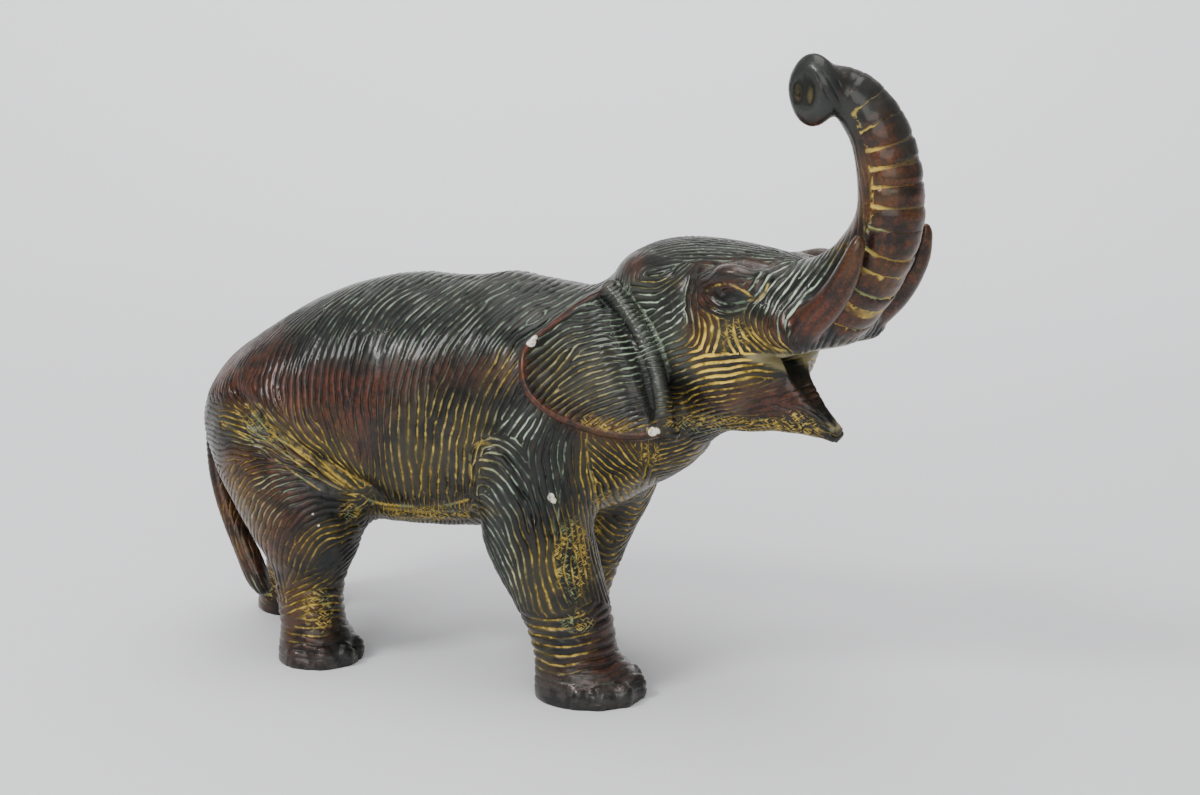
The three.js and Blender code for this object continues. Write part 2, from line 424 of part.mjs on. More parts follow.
// Thins a closed skin by closing up the edges whose loss bends the surface least.
function thin({ place, faces }, target) {
  const count = place.length / 3;
  const quadric = new Float64Array(count * 10);
  const around = Array.from({ length: count }, () => new Set());
  const alive = new Uint8Array(faces.length).fill(1);
  const normalOf = (a, b, c) => {
    const [ux, uy, uz] = [b[0] - a[0], b[1] - a[1], b[2] - a[2]];
    const [vx, vy, vz] = [c[0] - a[0], c[1] - a[1], c[2] - a[2]];
    return [uy * vz - uz * vy, uz * vx - ux * vz, ux * vy - uy * vx];
  };
  const point = (i) => [place[3 * i], place[3 * i + 1], place[3 * i + 2]];
  faces.forEach((face, f) => {
    const [a, b, c] = face.map(point);
    const m = normalOf(a, b, c);
    const area = Math.hypot(...m);
    const [x, y, z] = area > 0 ? m.map((q) => q / area) : [0, 0, 0];
    const w = -(x * a[0] + y * a[1] + z * a[2]);
    const q = [x * x, x * y, x * z, x * w, y * y, y * z, y * w, z * z, z * w, w * w];
    for (const i of face) {
      around[i].add(f);
      for (let c10 = 0; c10 < 10; c10++) quadric[i * 10 + c10] += (q[c10] * area) / 2;
    }
  });
  const version = new Uint32Array(count);
  const heap = [];
  const lift = (i) => {
    const item = heap[i];
    while (i > 0) {
      const up = (i - 1) >> 1;
      if (heap[up][0] <= item[0]) break;
      heap[i] = heap[up];
      i = up;
    }
    heap[i] = item;
  };
  const sink = () => {
    const item = heap[0];
    let i = 0;
    for (;;) {
      let next = 2 * i + 1;
      if (next >= heap.length) break;
      if (next + 1 < heap.length && heap[next + 1][0] < heap[next][0]) next++;
      if (heap[next][0] >= item[0]) break;
      heap[i] = heap[next];
      i = next;
    }
    heap[i] = item;
  };
  const error = (q, [x, y, z]) => q[0] * x * x + 2 * q[1] * x * y + 2 * q[2] * x * z + 2 * q[3] * x + q[4] * y * y
    + 2 * q[5] * y * z + 2 * q[6] * y + q[7] * z * z + 2 * q[8] * z + q[9];
  const propose = (a, b) => {
    const q = [];
    for (let c = 0; c < 10; c++) q.push(quadric[a * 10 + c] + quadric[b * 10 + c]);
    const [pa, pb] = [point(a), point(b)];
    const middle = pa.map((v, c) => (v + pb[c]) / 2);
    const det = q[0] * (q[4] * q[7] - q[5] * q[5]) - q[1] * (q[1] * q[7] - q[5] * q[2]) + q[2] * (q[1] * q[5] - q[4] * q[2]);
    let best = middle;
    if (Math.abs(det) > 1e-4) {
      const solved = [
        -(q[3] * (q[4] * q[7] - q[5] * q[5]) - q[1] * (q[6] * q[7] - q[5] * q[8]) + q[2] * (q[6] * q[5] - q[4] * q[8])) / det,
        -(q[0] * (q[6] * q[7] - q[8] * q[5]) - q[3] * (q[1] * q[7] - q[5] * q[2]) + q[2] * (q[1] * q[8] - q[6] * q[2])) / det,
        -(q[0] * (q[4] * q[8] - q[6] * q[5]) - q[1] * (q[1] * q[8] - q[6] * q[2]) + q[3] * (q[1] * q[5] - q[4] * q[2])) / det,
      ];
      const long = Math.hypot(pa[0] - pb[0], pa[1] - pb[1], pa[2] - pb[2]);
      if (Math.hypot(solved[0] - middle[0], solved[1] - middle[1], solved[2] - middle[2]) < 1.5 * long) best = solved;
    }
    // A little weight on length keeps the facets even where the surface is flat.
    const span = (pa[0] - pb[0]) ** 2 + (pa[1] - pb[1]) ** 2 + (pa[2] - pb[2]) ** 2;
    heap.push([Math.max(error(q, best), 0) + 1e-3 * span, a, b, version[a], version[b], best]);
    lift(heap.length - 1);
  };
  const neighbours = (i) => {
    const found = new Set();
    for (const f of around[i]) for (const j of faces[f]) if (j !== i) found.add(j);
    return found;
  };
  const flips = (i, other, to) => {
    for (const f of around[i]) {
      const face = faces[f];
      if (face.includes(other)) continue;
      const before = normalOf(...face.map(point));
      const after = normalOf(...face.map((j) => (j === i ? to : point(j))));
      const dot = before[0] * after[0] + before[1] * after[1] + before[2] * after[2];
      if (dot < 0.4 * Math.hypot(...before) * Math.hypot(...after)) return true;
    }
    return false;
  };
  for (const [a, b, c] of faces) {
    if (a < b) propose(a, b);
    if (b < c) propose(b, c);
    if (c < a) propose(c, a);
  }
  let left = faces.length;
  while (left > target && heap.length) {
    const [, a, b, va, vb, to] = heap[0];
    const end = heap.pop();
    if (heap.length) {
      heap[0] = end;
      sink();
    }
    if (version[a] !== va || version[b] !== vb || !around[a].size || !around[b].size) continue;
    const [na, nb] = [neighbours(a), neighbours(b)];
    let shared = 0;
    for (const j of na) shared += nb.has(j);
    if (shared !== 2 || flips(a, b, to) || flips(b, a, to)) continue;
    for (const f of [...around[b]]) {
      const face = faces[f];
      if (face.includes(a)) {
        for (const j of face) around[j].delete(f);
        alive[f] = 0;
        left--;
      } else {
        faces[f] = face.map((j) => (j === b ? a : j));
        around[a].add(f);
      }
    }
    around[b].clear();
    version[b]++;
    version[a]++;
    for (let c = 0; c < 3; c++) place[3 * a + c] = to[c];
    for (let c = 0; c < 10; c++) quadric[a * 10 + c] += quadric[b * 10 + c];
    for (const j of neighbours(a)) propose(Math.min(a, j), Math.max(a, j));
  }
  const kept = faces.filter((_, f) => alive[f]);
  const renumbered = new Map();
  const positions = [];
  for (const i of kept.flat()) {
    if (renumbered.has(i)) continue;
    renumbered.set(i, positions.length / 3);
    positions.push(...point(i));
  }
  return { positions: new Float32Array(positions), index: new Uint32Array(kept.flat().map((i) => renumbered.get(i))) };
}

// Draws the corners of a skin evenly over the surface, and puts each back on it.
function settle(positions, index, field, rounds, share) {
  const skin = new THREE.BufferGeometry();
  skin.setAttribute('position', new THREE.BufferAttribute(positions, 3));
  skin.setIndex(new THREE.BufferAttribute(index, 1));
  const count = positions.length / 3;
  for (let round = 0; round < rounds; round++) {
    skin.computeVertexNormals();
    const normals = skin.getAttribute('normal').array;
    const sums = new Float32Array(positions.length);
    const met = new Float32Array(count);
    for (let i = 0; i < index.length; i += 3) {
      for (let e = 0; e < 3; e++) {
        const [a, b] = [index[i + e], index[i + ((e + 1) % 3)]];
        met[a]++;
        for (let c = 0; c < 3; c++) sums[3 * a + c] += positions[3 * b + c];
      }
    }
    for (let i = 0; i < count; i++) {
      const p = [0, 1, 2].map((c) => positions[3 * i + c] + share * (sums[3 * i + c] / met[i] - positions[3 * i + c]));
      const d = THREE.MathUtils.clamp(field(...p), -drawn, drawn);
      for (let c = 0; c < 3; c++) positions[3 * i + c] = p[c] - normals[3 * i + c] * d;
    }
  }
}

const room = { low: [-158, -72, -18], high: [166, 84, 260] };
const lattice = skinOf(figure, room.low.map((v) => v * drawn), room.high.map((v) => v * drawn), latticePitch);
const latticePlaces = new Float32Array(lattice.place);
settle(latticePlaces, new Uint32Array(lattice.faces.flat()), figure, 2, 0.6);
const thinned = thin({ place: Array.from(latticePlaces), faces: lattice.faces }, skinTriangles);

// The soles are cut flat on z = 0.
const wasm = await Module();
wasm.setup();
const solidOf = (positions, index) => new wasm.Manifold(
  new wasm.Mesh({ numProp: 3, vertProperties: new Float32Array(positions), triVerts: new Uint32Array(index) }),
);
const ground = new THREE.BoxGeometry(2 * height, height, height / 4).translate(0, 0, -height / 8);
ground.deleteAttribute('normal');
ground.deleteAttribute('uv');
const block = mergeVertices(ground);
const groundSolid = solidOf(block.getAttribute('position').array, block.index.array);
const cutFigure = solidOf(thinned.positions, thinned.index).subtract(groundSolid).getMesh();

const geometry = new THREE.BufferGeometry();
geometry.setAttribute('position', new THREE.BufferAttribute(new Float32Array(cutFigure.vertProperties), 3));
geometry.setIndex(Array.from(cutFigure.triVerts));
geometry.computeBoundingBox();
const box = geometry.boundingBox;
geometry.translate(-(box.min.x + box.max.x) / 2, -(box.min.y + box.max.y) / 2, 0);

const bronze = new THREE.MeshStandardMaterial({ name: 'patinated bronze', color: 0x33302a, roughness: 0.4, metalness: 0.7 });
const elephant = new THREE.Mesh(geometry, bronze);
elephant.name = 'elephant';
const group = new THREE.Group();
group.add(elephant);
export default group;
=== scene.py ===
import math
import time
import bpy
import numpy as np
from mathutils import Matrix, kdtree


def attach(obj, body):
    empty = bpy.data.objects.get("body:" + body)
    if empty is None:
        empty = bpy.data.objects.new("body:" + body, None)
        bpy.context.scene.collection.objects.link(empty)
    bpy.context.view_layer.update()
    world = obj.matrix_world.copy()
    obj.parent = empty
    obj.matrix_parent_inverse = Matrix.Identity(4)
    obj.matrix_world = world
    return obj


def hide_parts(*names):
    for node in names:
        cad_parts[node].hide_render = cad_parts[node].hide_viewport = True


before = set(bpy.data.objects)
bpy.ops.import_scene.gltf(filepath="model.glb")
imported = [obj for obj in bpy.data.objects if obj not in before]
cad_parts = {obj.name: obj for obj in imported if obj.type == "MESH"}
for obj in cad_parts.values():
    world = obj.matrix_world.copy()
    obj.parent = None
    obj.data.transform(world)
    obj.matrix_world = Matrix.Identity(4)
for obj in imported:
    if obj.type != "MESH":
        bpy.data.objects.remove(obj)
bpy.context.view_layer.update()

started = time.time()


def say(words):
    print(f"{time.time() - started:6.1f} s  {words}", flush=True)


# The photograph's camera: a little above the back, looking from the right and a little from the front.
photo = {"at": (0.3731, -0.9262, 0.3420), "down": 13.0, "round": 21.0, "focal": 2542.0, "middle": (600.0, 397.5),
         "perMillimetre": 2.55, "sensor": 23.6, "lens": 50.0, "near": 0.05, "far": 20.0}
cameraData = bpy.data.cameras.new("camera")
cameraData.sensor_fit = "HORIZONTAL"
cameraData.sensor_width = photo["sensor"]
cameraData.lens = photo["lens"]
cameraData.clip_start = photo["near"]
cameraData.clip_end = photo["far"]
camera = bpy.data.objects.new("camera", cameraData)
camera.location = photo["at"]
camera.rotation_euler = (math.radians(90 - photo["down"]), 0, math.radians(photo["round"]))
bpy.context.scene.collection.objects.link(camera)
bpy.context.scene.camera = camera

# The figure is worked out in millimetres in the frame it was drawn in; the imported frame's origin lies here in it.
drawnOrigin = np.array([7.345, 2.486, 0.0])


def join(a, b, k):
    h = np.maximum(k - np.abs(a - b), 0) / k
    return np.minimum(a, b) - h * h * k / 4


def cut(a, b, k):
    return -join(-a, b, k)


def furrow(away, width, depth):
    return depth * np.exp(-np.minimum(away / width, 6) ** 2)


def step(low, high, value):
    t = np.clip((value - low) / (high - low), 0, 1)
    return t * t * (3 - 2 * t)


def through(points, perSpan):
    p = np.array(points, float)
    sampled = []
    for i in range(len(p) - 1):
        before, a, b, after = p[max(i - 1, 0)], p[i], p[i + 1], p[min(i + 2, len(p) - 1)]
        for s in range(perSpan):
            t = s / perSpan
            sampled.append(0.5 * (2 * a + (b - before) * t + (2 * before - 5 * a + 4 * b - after) * t * t
                                  + (3 * a - before - 3 * b + after) * t ** 3))
    sampled.append(p[-1])
    return np.array(sampled)


# A limb along a chain of [x, y, z, radius]; places further than margin from its box only get a rough distance.
class Limb:
    def __init__(self, points, perSpan=4):
        self.p = through(points, perSpan)
        steps = np.linalg.norm(np.diff(self.p[:, :3], axis=0), axis=1)
        self.along = np.concatenate([[0], np.cumsum(steps)])
        self.low = (self.p[:, :3] - self.p[:, 3:]).min(0)
        self.high = (self.p[:, :3] + self.p[:, 3:]).max(0)

    def nearest(self, at, margin=14):
        far = np.maximum(self.low - at, at - self.high).max(1)
        chosen = np.nonzero(far <= margin)[0]
        a = at[chosen]
        best = np.full(len(a), 1e9)
        span = np.zeros(len(a), int)
        part = np.zeros(len(a))
        for i in range(1, len(self.p)):
            start, end = self.p[i - 1], self.p[i]
            d = end[:3] - start[:3]
            rel = a - start[:3]
            t = np.clip(rel @ d / (d @ d), 0, 1)
            dist = np.sqrt(((rel - t[:, None] * d) ** 2).sum(1)) - (start[3] + t * (end[3] - start[3]))
            closer = dist < best
            best[closer] = dist[closer]
            span[closer] = i
            part[closer] = t[closer]
        far[chosen] = best
        return far, chosen, span, part

    def distance(self, at):
        return self.nearest(at)[0]


def turned(pitch, yaw):
    p, w = math.radians(pitch), math.radians(yaw)
    aboutY = np.array([[math.cos(p), 0, math.sin(p)], [0, 1, 0], [-math.sin(p), 0, math.cos(p)]])
    aboutZ = np.array([[math.cos(w), -math.sin(w), 0], [math.sin(w), math.cos(w), 0], [0, 0, 1]])
    return aboutZ @ aboutY


class Egg:
    def __init__(self, centre, radii, pitch=0, yaw=0):
        self.centre = np.array(centre, float)
        self.radii = np.array(radii, float)
        self.axes = turned(pitch, yaw)

    def distance(self, at):
        q = (at - self.centre) @ self.axes / self.radii
        k0 = np.sqrt((q ** 2).sum(1))
        k1 = np.sqrt(((q / self.radii) ** 2).sum(1))
        return np.where(k1 < 1e-9, -self.radii.min(), k0 * (k0 - 1) / np.maximum(k1, 1e-9))


class Barrel:
    def __init__(self, stations):
        self.s = through(stations, 6)

    def section(self, x, y, z):
        s = self.s
        i = np.clip(np.searchsorted(s[:, 0], x), 1, len(s) - 1)
        t = np.clip((x - s[i - 1, 0]) / (s[i, 0] - s[i - 1, 0]), 0, 1)
        top, bottom, wide = [s[i - 1, c] + t * (s[i, c] - s[i - 1, c]) for c in (1, 2, 3)]
        tall = (top - bottom) / 2
        p = y / wide
        q = (z - (top + bottom) / 2) / tall
        k0 = np.hypot(p, q)
        k1 = np.hypot(p / wide, q / tall)
        return np.where(k1 < 1e-9, -np.minimum(wide, tall), k0 * (k0 - 1) / np.maximum(k1, 1e-9))

    def distance(self, at):
        x, y, z = at.T
        inside = np.clip(x, self.s[0, 0], self.s[-1, 0])
        d = self.section(inside, y, z)
        slope = (self.section(inside + 1, y, z) - self.section(inside - 1, y, z)) / 2
        across = d / np.hypot(1, slope)
        beyond = np.hypot(np.maximum(across, 0), x - inside) + np.minimum(across, 0) * 0.2
        return np.where(x == inside, across, beyond)


def lineAway(points, u, v):
    p = through(points, 3)
    best = np.full(len(u), 1e9)
    for a, b in zip(p[:-1], p[1:]):
        d = b - a
        t = np.clip(((u - a[0]) * d[0] + (v - a[1]) * d[1]) / (d @ d), 0, 1)
        best = np.minimum(best, np.hypot(u - a[0] - t * d[0], v - a[1] - t * d[1]))
    return best


torso = Barrel([
    [-145, 102, 90, 9], [-143.5, 109, 84, 17], [-139.5, 116, 78, 25], [-133, 123, 72, 31], [-121, 131.5, 66, 37],
    [-103, 143, 60, 43], [-84, 152, 57, 45], [-66, 157.2, 56, 46.5], [-52, 159.3, 55.5, 47], [-39, 159, 56, 47],
    [-26, 159.8, 57, 46.5], [-13, 162, 58.5, 46], [0, 160.5, 61, 46], [20, 158, 66, 45], [40, 155, 74, 41],
    [54, 150, 85, 34], [64, 142, 97, 26], [70, 133, 107, 16], [73, 126, 114, 8],
])
bodyMasses = [
    (Egg([-101, -24, 92], [32, 23, 38], 12), 12),
    (Egg([-105, 24, 92], [32, 23, 38], 16), 12),
    (Egg([4, -27, 110], [26, 20, 38], -8), 14),
    (Egg([8, 27, 110], [26, 20, 38], 4), 14),
    (Egg([48, -8, 110], [25, 26, 20], 24), 14),
    (Egg([-66, 4, 61], [11, 9, 8]), 6),
]
legs = [
    {"chain": Limb([[4, -29, 98, 22], [9, -30, 80, 22.5], [12, -31, 64, 21.5], [19, -31, 46, 18.8],
                    [24.5, -31, 31, 17.3], [27.5, -31, 18, 16.8], [29.5, -31, 2, 17.5]]),
     "foot": [34.3, -31, 2], "size": [20.5, 19.5, 15.5], "toes": -22, "nails": [-66, -38, -4, 32, 66]},
    {"chain": Limb([[22, 27, 98, 23], [17, 28, 76, 22.5], [11.5, 29, 60, 20], [8.5, 29, 47, 17.4],
                    [5.2, 30, 31, 15], [2.8, 30, 18, 14], [2, 30, 2, 14.4]]),
     "foot": [2, 30, 2], "size": [15.6, 16.6, 14.5], "toes": 6, "nails": [-66, -34, 0, 34, 66]},
    {"chain": Limb([[-100, -26, 88, 27], [-93, -29, 68, 25.5], [-90.5, -29, 56, 21.5], [-90.5, -29, 43, 16.2],
                    [-91, -29, 29, 14], [-90, -29, 16, 13.8], [-88.5, -29, 2, 14.5]]),
     "foot": [-86.5, -29, 1], "size": [16.2, 16.6, 14], "toes": -30, "nails": [-78, -32, 10, 48]},
    {"chain": Limb([[-106, 27, 88, 27], [-109, 29, 68, 25], [-114, 31, 54, 20.5], [-121, 32, 41, 16],
                    [-127, 32, 28, 14], [-130, 32, 15, 13.8], [-131, 32, 2, 14.5]]),
     "foot": [-128.5, 32, 1], "size": [17, 17, 14], "toes": 6, "nails": [-60, -20, 20, 60]},
]
nailSizes = {"radii": [3.2, 4.3, 5.6], "inset": 1.6, "height": 4.2}
for leg in legs:
    leg["body"] = Egg(leg["foot"], leg["size"])
    leg["nailBodies"] = []
    for nail in leg["nails"]:
        turn = math.radians(nail + leg["toes"])
        x, y = math.cos(turn), math.sin(turn)
        reach = 1 / math.hypot(x / leg["size"][0], y / leg["size"][1]) - nailSizes["inset"]
        place = [leg["foot"][0] + reach * x, leg["foot"][1] + reach * y, nailSizes["height"]]
        leg["nailBodies"].append(Egg(place, nailSizes["radii"], 0, nail + leg["toes"]))

haunchLine = [[-116, 112], [-104, 106], [-94, 100], [-85, 94], [-74, 86.6], [-65, 81], [-57, 76.5], [-54, 72]]
elbowLine = [[-11.5, 66], [-11, 76], [-10.3, 90], [-9.4, 99], [-4, 104], [3.5, 102.5], [10, 95], [13.5, 84.7], [17, 76]]
creases = [
    (haunchLine, [[x - 4, z] for x, z in haunchLine], 3.8, 2.8),
    (elbowLine, [[x + 8, z] for x, z in elbowLine], 2.0, 1.8),
    ([[27, 106], [25.5, 96], [23.8, 87.7], [23.4, 79.6], [24.6, 70]], [[40, 104], [38, 88], [35, 72]], 1.6, 1.0),
    ([[-72, 66], [-54, 66.5], [-43, 66.5], [-30, 67.5], [-12.7, 69]], [[-72, 66], [-40, 66], [-6, 69]], 1.4, 0.9),
]
tail = Limb([[-136, 0, 110, 4.6], [-144.5, -1, 100, 4.4], [-148.5, -2, 86, 3.8], [-147.5, -4, 72, 3.4],
             [-144, -6, 60, 3.6], [-138, -8, 48, 4.2], [-130.5, -9, 34, 5], [-126.5, -10, 26, 5], [-124, -10, 21, 3.6]])

# The head has its own frame: forward, left and up from its pivot.
headTurn = math.radians(25)
headPivot = np.array([50.0, 4.0])
headForward = np.array([math.cos(headTurn), -math.sin(headTurn)])
headLeft = np.array([math.sin(headTurn), math.cos(headTurn)])
cranium = Barrel([
    [-27, 148, 128, 10], [-19, 161.5, 118, 19], [-9, 172.5, 111, 26], [4, 179, 109, 30.5], [20, 181.5, 110, 32],
    [38, 182, 119, 31], [54, 180.5, 134, 29], [70, 177.5, 146, 25.5], [84, 176.5, 151, 21], [94, 177.5, 155, 16.5],
])
jaw = Barrel([
    [26, 140, 106, 22], [38, 150, 108, 20], [50, 153, 110, 16.5], [62, 151, 112, 11.8], [74, 138, 113, 7.4],
    [84, 126, 113.2, 5.2], [92.5, 119.5, 112.8, 3.6],
])
headMasses = [
    (Egg([38, -15, 146], [29, 16, 27], 20), 10),
    (Egg([14.5, -14, 164.4], [19.5, 16.2, 13.4], 4), 6),
    (Limb([[49, -22.6, 170.2, 4.2], [57, -25.4, 172.4, 4.6], [65, -25, 173.1, 4.4], [73, -20, 172.4, 3]]), 5),
    (Limb([[70, -17, 162.5, 10.2], [80, -17.5, 159, 9.8], [88, -18.6, 157, 8.8]]), 6),
]
templeHollow = Egg([48, -40, 160], [6, 9, 15], -14)
templeDish = Egg([27, -41.5, 157], [14, 12.5, 11], 20)
templeLine = [[52, 181], [44.5, 176.5], [41.5, 170], [41.5, 161], [43, 152]]
eyeHollow = Egg([65.9, -35.2, 170.6], [8.6, 7, 3.7], -6)
eye = Egg([63.9, -25.4, 168.2], [5.2, 3.2, 3.4], 4)
eyelids = [
    Limb([[57.9, -28.2, 169, 0.9], [61.4, -29.2, 171.8, 1.2], [65.9, -28.6, 171.8, 1.2], [69.9, -26, 168.6, 0.9]]),
    Limb([[57.9, -28.2, 169, 0.9], [61.4, -29, 166.6, 1.1], [65.9, -28.4, 166.2, 1.1], [69.9, -26, 168.6, 0.9]]),
]
mouthCorner = (66, 144.5)
palateUp = (-0.164, 0.986)
jawUp = (0.694, 0.72)
trough = Barrel([
    [64, 152, 142, 3], [70, 150, 134, 5.4], [78, 146, 127, 5], [86, 136, 121.6, 3.4], [91.5, 128, 118.4, 1.5],
])
trunk = Limb([[60, 0, 158, 18], [78, 0, 161, 17], [91.5, 0, 168, 16], [104.8, 0, 180.4, 14.2], [114.4, 0, 197, 12.6],
              [114.7, 0, 215, 11.8], [110.8, -3, 231.8, 10.8], [103.4, -7, 242.4, 9.6], [96.8, -12, 245.4, 8.7],
              [94.6, -17, 246, 8.4]])
trunkRings = {"pitch": 7.2, "depth": 0.55, "edge": 0.08, "from": (26, 34), "to": (118, 128)}
trunkTip = Egg([94.6, -19.4, 245.4], [9.4, 5.6, 13], 0, 8)
nostrils = [Egg([91.8, -27, 244.2], [1.9, 4.2, 4.2], 0, 8), Egg([96.6, -26.4, 244], [1.9, 4.2, 4.4], 0, 8)]
tipDish = Egg([95.6, -28.8, 245.4], [6.6, 5.4, 9.4], 0, 8)
tusk = Limb([[80, -17, 152, 6.2], [88, -19, 156.5, 6.4], [97, -19.5, 163, 6], [105, -19.5, 171, 5.5],
             [112, -19.5, 181.5, 4.6], [115.6, -19, 190.5, 3.2], [116.4, -18.6, 194, 2]])

earSizes = {"thickness": 4.6, "rim": 1.8}
earRoot = np.array([7.4, -34, 165])
earDown = np.array([30.4, 0, -51.2])
earDown /= np.linalg.norm(earDown)
earOut = np.array([-0.68, -0.73, 0])
earOut -= earDown * (earOut @ earDown)
earOut /= np.linalg.norm(earOut)
earFace = np.cross(earOut, earDown)
earOutline = through([[-3, 0], [9, -0.6], [22, 2.6], [34, 7], [40.5, 10.5], [44.5, 17], [46.3, 24.5], [44.8, 32],
                      [40, 39.5], [31, 47.8], [21, 54.8], [11, 59.6], [3, 60.8], [-1.5, 57], [-4, 49], [-5, 38],
                      [-5, 28], [-4.5, 15], [-4, 5]], 2)
earRib = Limb([[8, -34.5, 164, 3.6], [20, -36, 153, 4.2], [28, -37, 143, 4.4], [34, -37, 131, 4.4],
               [37.5, -36, 119, 4.4], [39, -34, 113, 3.6]])


# The ear's distance, and where in its flap each place is: outward, down, off its face, and in from its rim.
def earShape(at):
    rel = at - earRoot
    s, t, n = rel @ earOut, rel @ earDown, rel @ earFace
    far = np.max([-16 - s, s - 54, -9 - t, t - 69, np.abs(n) - 16], axis=0)
    chosen = np.nonzero(far <= 10)[0]
    s, t, n = s[chosen], t[chosen], n[chosen]
    best = np.full(len(s), 1e9)
    inside = np.zeros(len(s), bool)
    ring = earOutline[:-1]
    for a, b in zip(np.roll(ring, 1, axis=0), ring):
        e = b - a
        h = np.clip(((s - a[0]) * e[0] + (t - a[1]) * e[1]) / (e @ e), 0, 1)
        best = np.minimum(best, np.hypot(s - a[0] - h * e[0], t - a[1] - h * e[1]))
        if abs(e[1]) > 1e-9:
            inside ^= ((a[1] > t) != (b[1] > t)) & (s < a[0] + e[0] * (t - a[1]) / e[1])
    rim = np.where(inside, best, -best)
    reach = np.clip(s / 46, 0, 1)
    middle = 2.6 * reach ** 2 - 3.2 * np.sin(math.pi * reach) \
        + 5 * np.sin(math.pi * np.clip(t / 62, 0, 1)) * (1 - step(-2, 16, s))
    raised = np.where(s > 0, earSizes["rim"] * np.exp(-((rim - 1.4) / 1.7) ** 2), 0)
    rootFurrow = np.where(n > middle, furrow(np.abs(s - 5.5), 1.8, 1.6) * step(3, 12, rim), 0)
    half = (earSizes["thickness"] + raised) / 2 - rootFurrow
    far[chosen] = -join(rim, half - np.abs(n - middle), 3)
    return far, chosen, s, t, n - middle, rim


def inHead(at):
    rel = at[:, :2] - headPivot
    return np.stack([rel @ headForward, rel @ headLeft, at[:, 2]], axis=1)


def outOfHead(h):
    xy = headPivot + h[:, :1] * headForward + h[:, 1:2] * headLeft
    return np.concatenate([xy, h[:, 2:]], axis=1)


def gapeDistance(h):
    u, w = h[:, 0] - mouthCorner[0], h[:, 2] - mouthCorner[1]
    return -join(-(u * palateUp[0] + w * palateUp[1]), u * jawUp[0] + w * jawUp[1], 3)


# Where each place lies on the trunk: how far along in millimetres, and how far round to its front, -1 to 1.
def trunkPlace(h):
    near, chosen, span, part = trunk.nearest(h)
    a, b = trunk.p[span - 1], trunk.p[span]
    along = trunk.along[span - 1] + part * (trunk.along[span] - trunk.along[span - 1])
    chord = b - a
    size = np.maximum(np.hypot(chord[:, 0], chord[:, 2]), 1e-9)
    ox = h[chosen, 0] - a[:, 0] - part * chord[:, 0]
    oz = h[chosen, 2] - a[:, 2] - part * chord[:, 2]
    away = np.maximum(np.sqrt(ox ** 2 + oz ** 2 + h[chosen, 1] ** 2), 1e-6)
    return near, chosen, along, (ox * chord[:, 2] - oz * chord[:, 0]) / size / away


def headDistance(h, fine=True):
    sided = h.copy()
    sided[:, 1] = -np.abs(h[:, 1])
    d = cranium.distance(h)
    for mass, k in headMasses:
        d = join(d, mass.distance(sided), k)
    d = join(d, jaw.distance(h), 8)
    near, chosen, along, front = trunkPlace(h)
    d = join(d, near, 11)
    ring = along / trunkRings["pitch"]
    away = np.abs(ring - np.round(ring)) * trunkRings["pitch"]
    shown = step(*trunkRings["from"], along) * (1 - step(*trunkRings["to"], along))
    d[chosen] += shown * step(0.0, 0.25, front) * furrow(away, 1.2, trunkRings["depth"])
    d[chosen] += shown * furrow(np.abs(front - trunkRings["edge"]) * 10, 1.2, 0.4)
    d = cut(d, templeHollow.distance(sided), 7)
    d = cut(d, templeDish.distance(sided), 6)
    temple = np.nonzero((np.abs(d) < 8) & (sided[:, 1] < -12))[0]
    u, w = h[temple, 0], h[temple, 2]
    d[temple] += step(150, 162, w) * (1 - step(170, 180, w)) * furrow(lineAway(templeLine, u, w), 3.4, 1.2)
    d = cut(d, eyeHollow.distance(sided), 5)
    d = join(d, eye.distance(sided), 1.2)
    if fine:
        for lid in eyelids:
            d = join(d, lid.distance(sided), 1.0)
    d = cut(d, gapeDistance(h), 2)
    d = cut(d, trough.distance(h), 1.6)
    d = join(d, trunkTip.distance(h), 5)
    d = cut(d, tipDish.distance(h), 3)
    for nostril in nostrils:
        d = cut(d, nostril.distance(h), 1.5)
    return join(d, tusk.distance(sided), 1.5)


def legDistance(leg, at):
    d = join(leg["chain"].distance(at), leg["body"].distance(at), 6)
    low = np.nonzero((at[:, 2] < 45) & (d < 8))[0]
    z = at[low, 2]
    dl = d[low]
    for fold in (15.5, 19, 23, 27.5, 33):
        dl += furrow(np.abs(z - fold), 1.3, 0.6)
    for nail in leg["nailBodies"]:
        dl = join(dl, nail.distance(at[low]), 0.8)
    d[low] = dl
    return d


def bodyDistance(at):
    x, y, z = at.T
    d = torso.distance(at)
    for mass, k in bodyMasses:
        d = join(d, mass.distance(at), k)
    for leg in legs:
        d = join(d, legDistance(leg, at), 10)
    near = np.nonzero((np.abs(d) < 8) & (np.abs(y) > 14))[0]
    for right, left, width, depth in creases:
        for line, side in ((right, y[near] < 0), (left, y[near] >= 0)):
            some = near[side]
            d[some] += step(14, 26, np.abs(y[some])) * furrow(lineAway(line, x[some], z[some]), width, depth)
    return join(d, tail.distance(at), 2)


def figure(at):
    d = bodyDistance(at)
    h = inHead(at)
    chosen = np.nonzero(h[:, 0] > -48)[0]
    h = h[chosen]
    dh = join(d[chosen], headDistance(h), 12)
    h[:, 1] = -np.abs(h[:, 1])
    dh = join(dh, earShape(h)[0], 2)
    d[chosen] = join(dh, earRib.distance(h), 2.4)
    return d


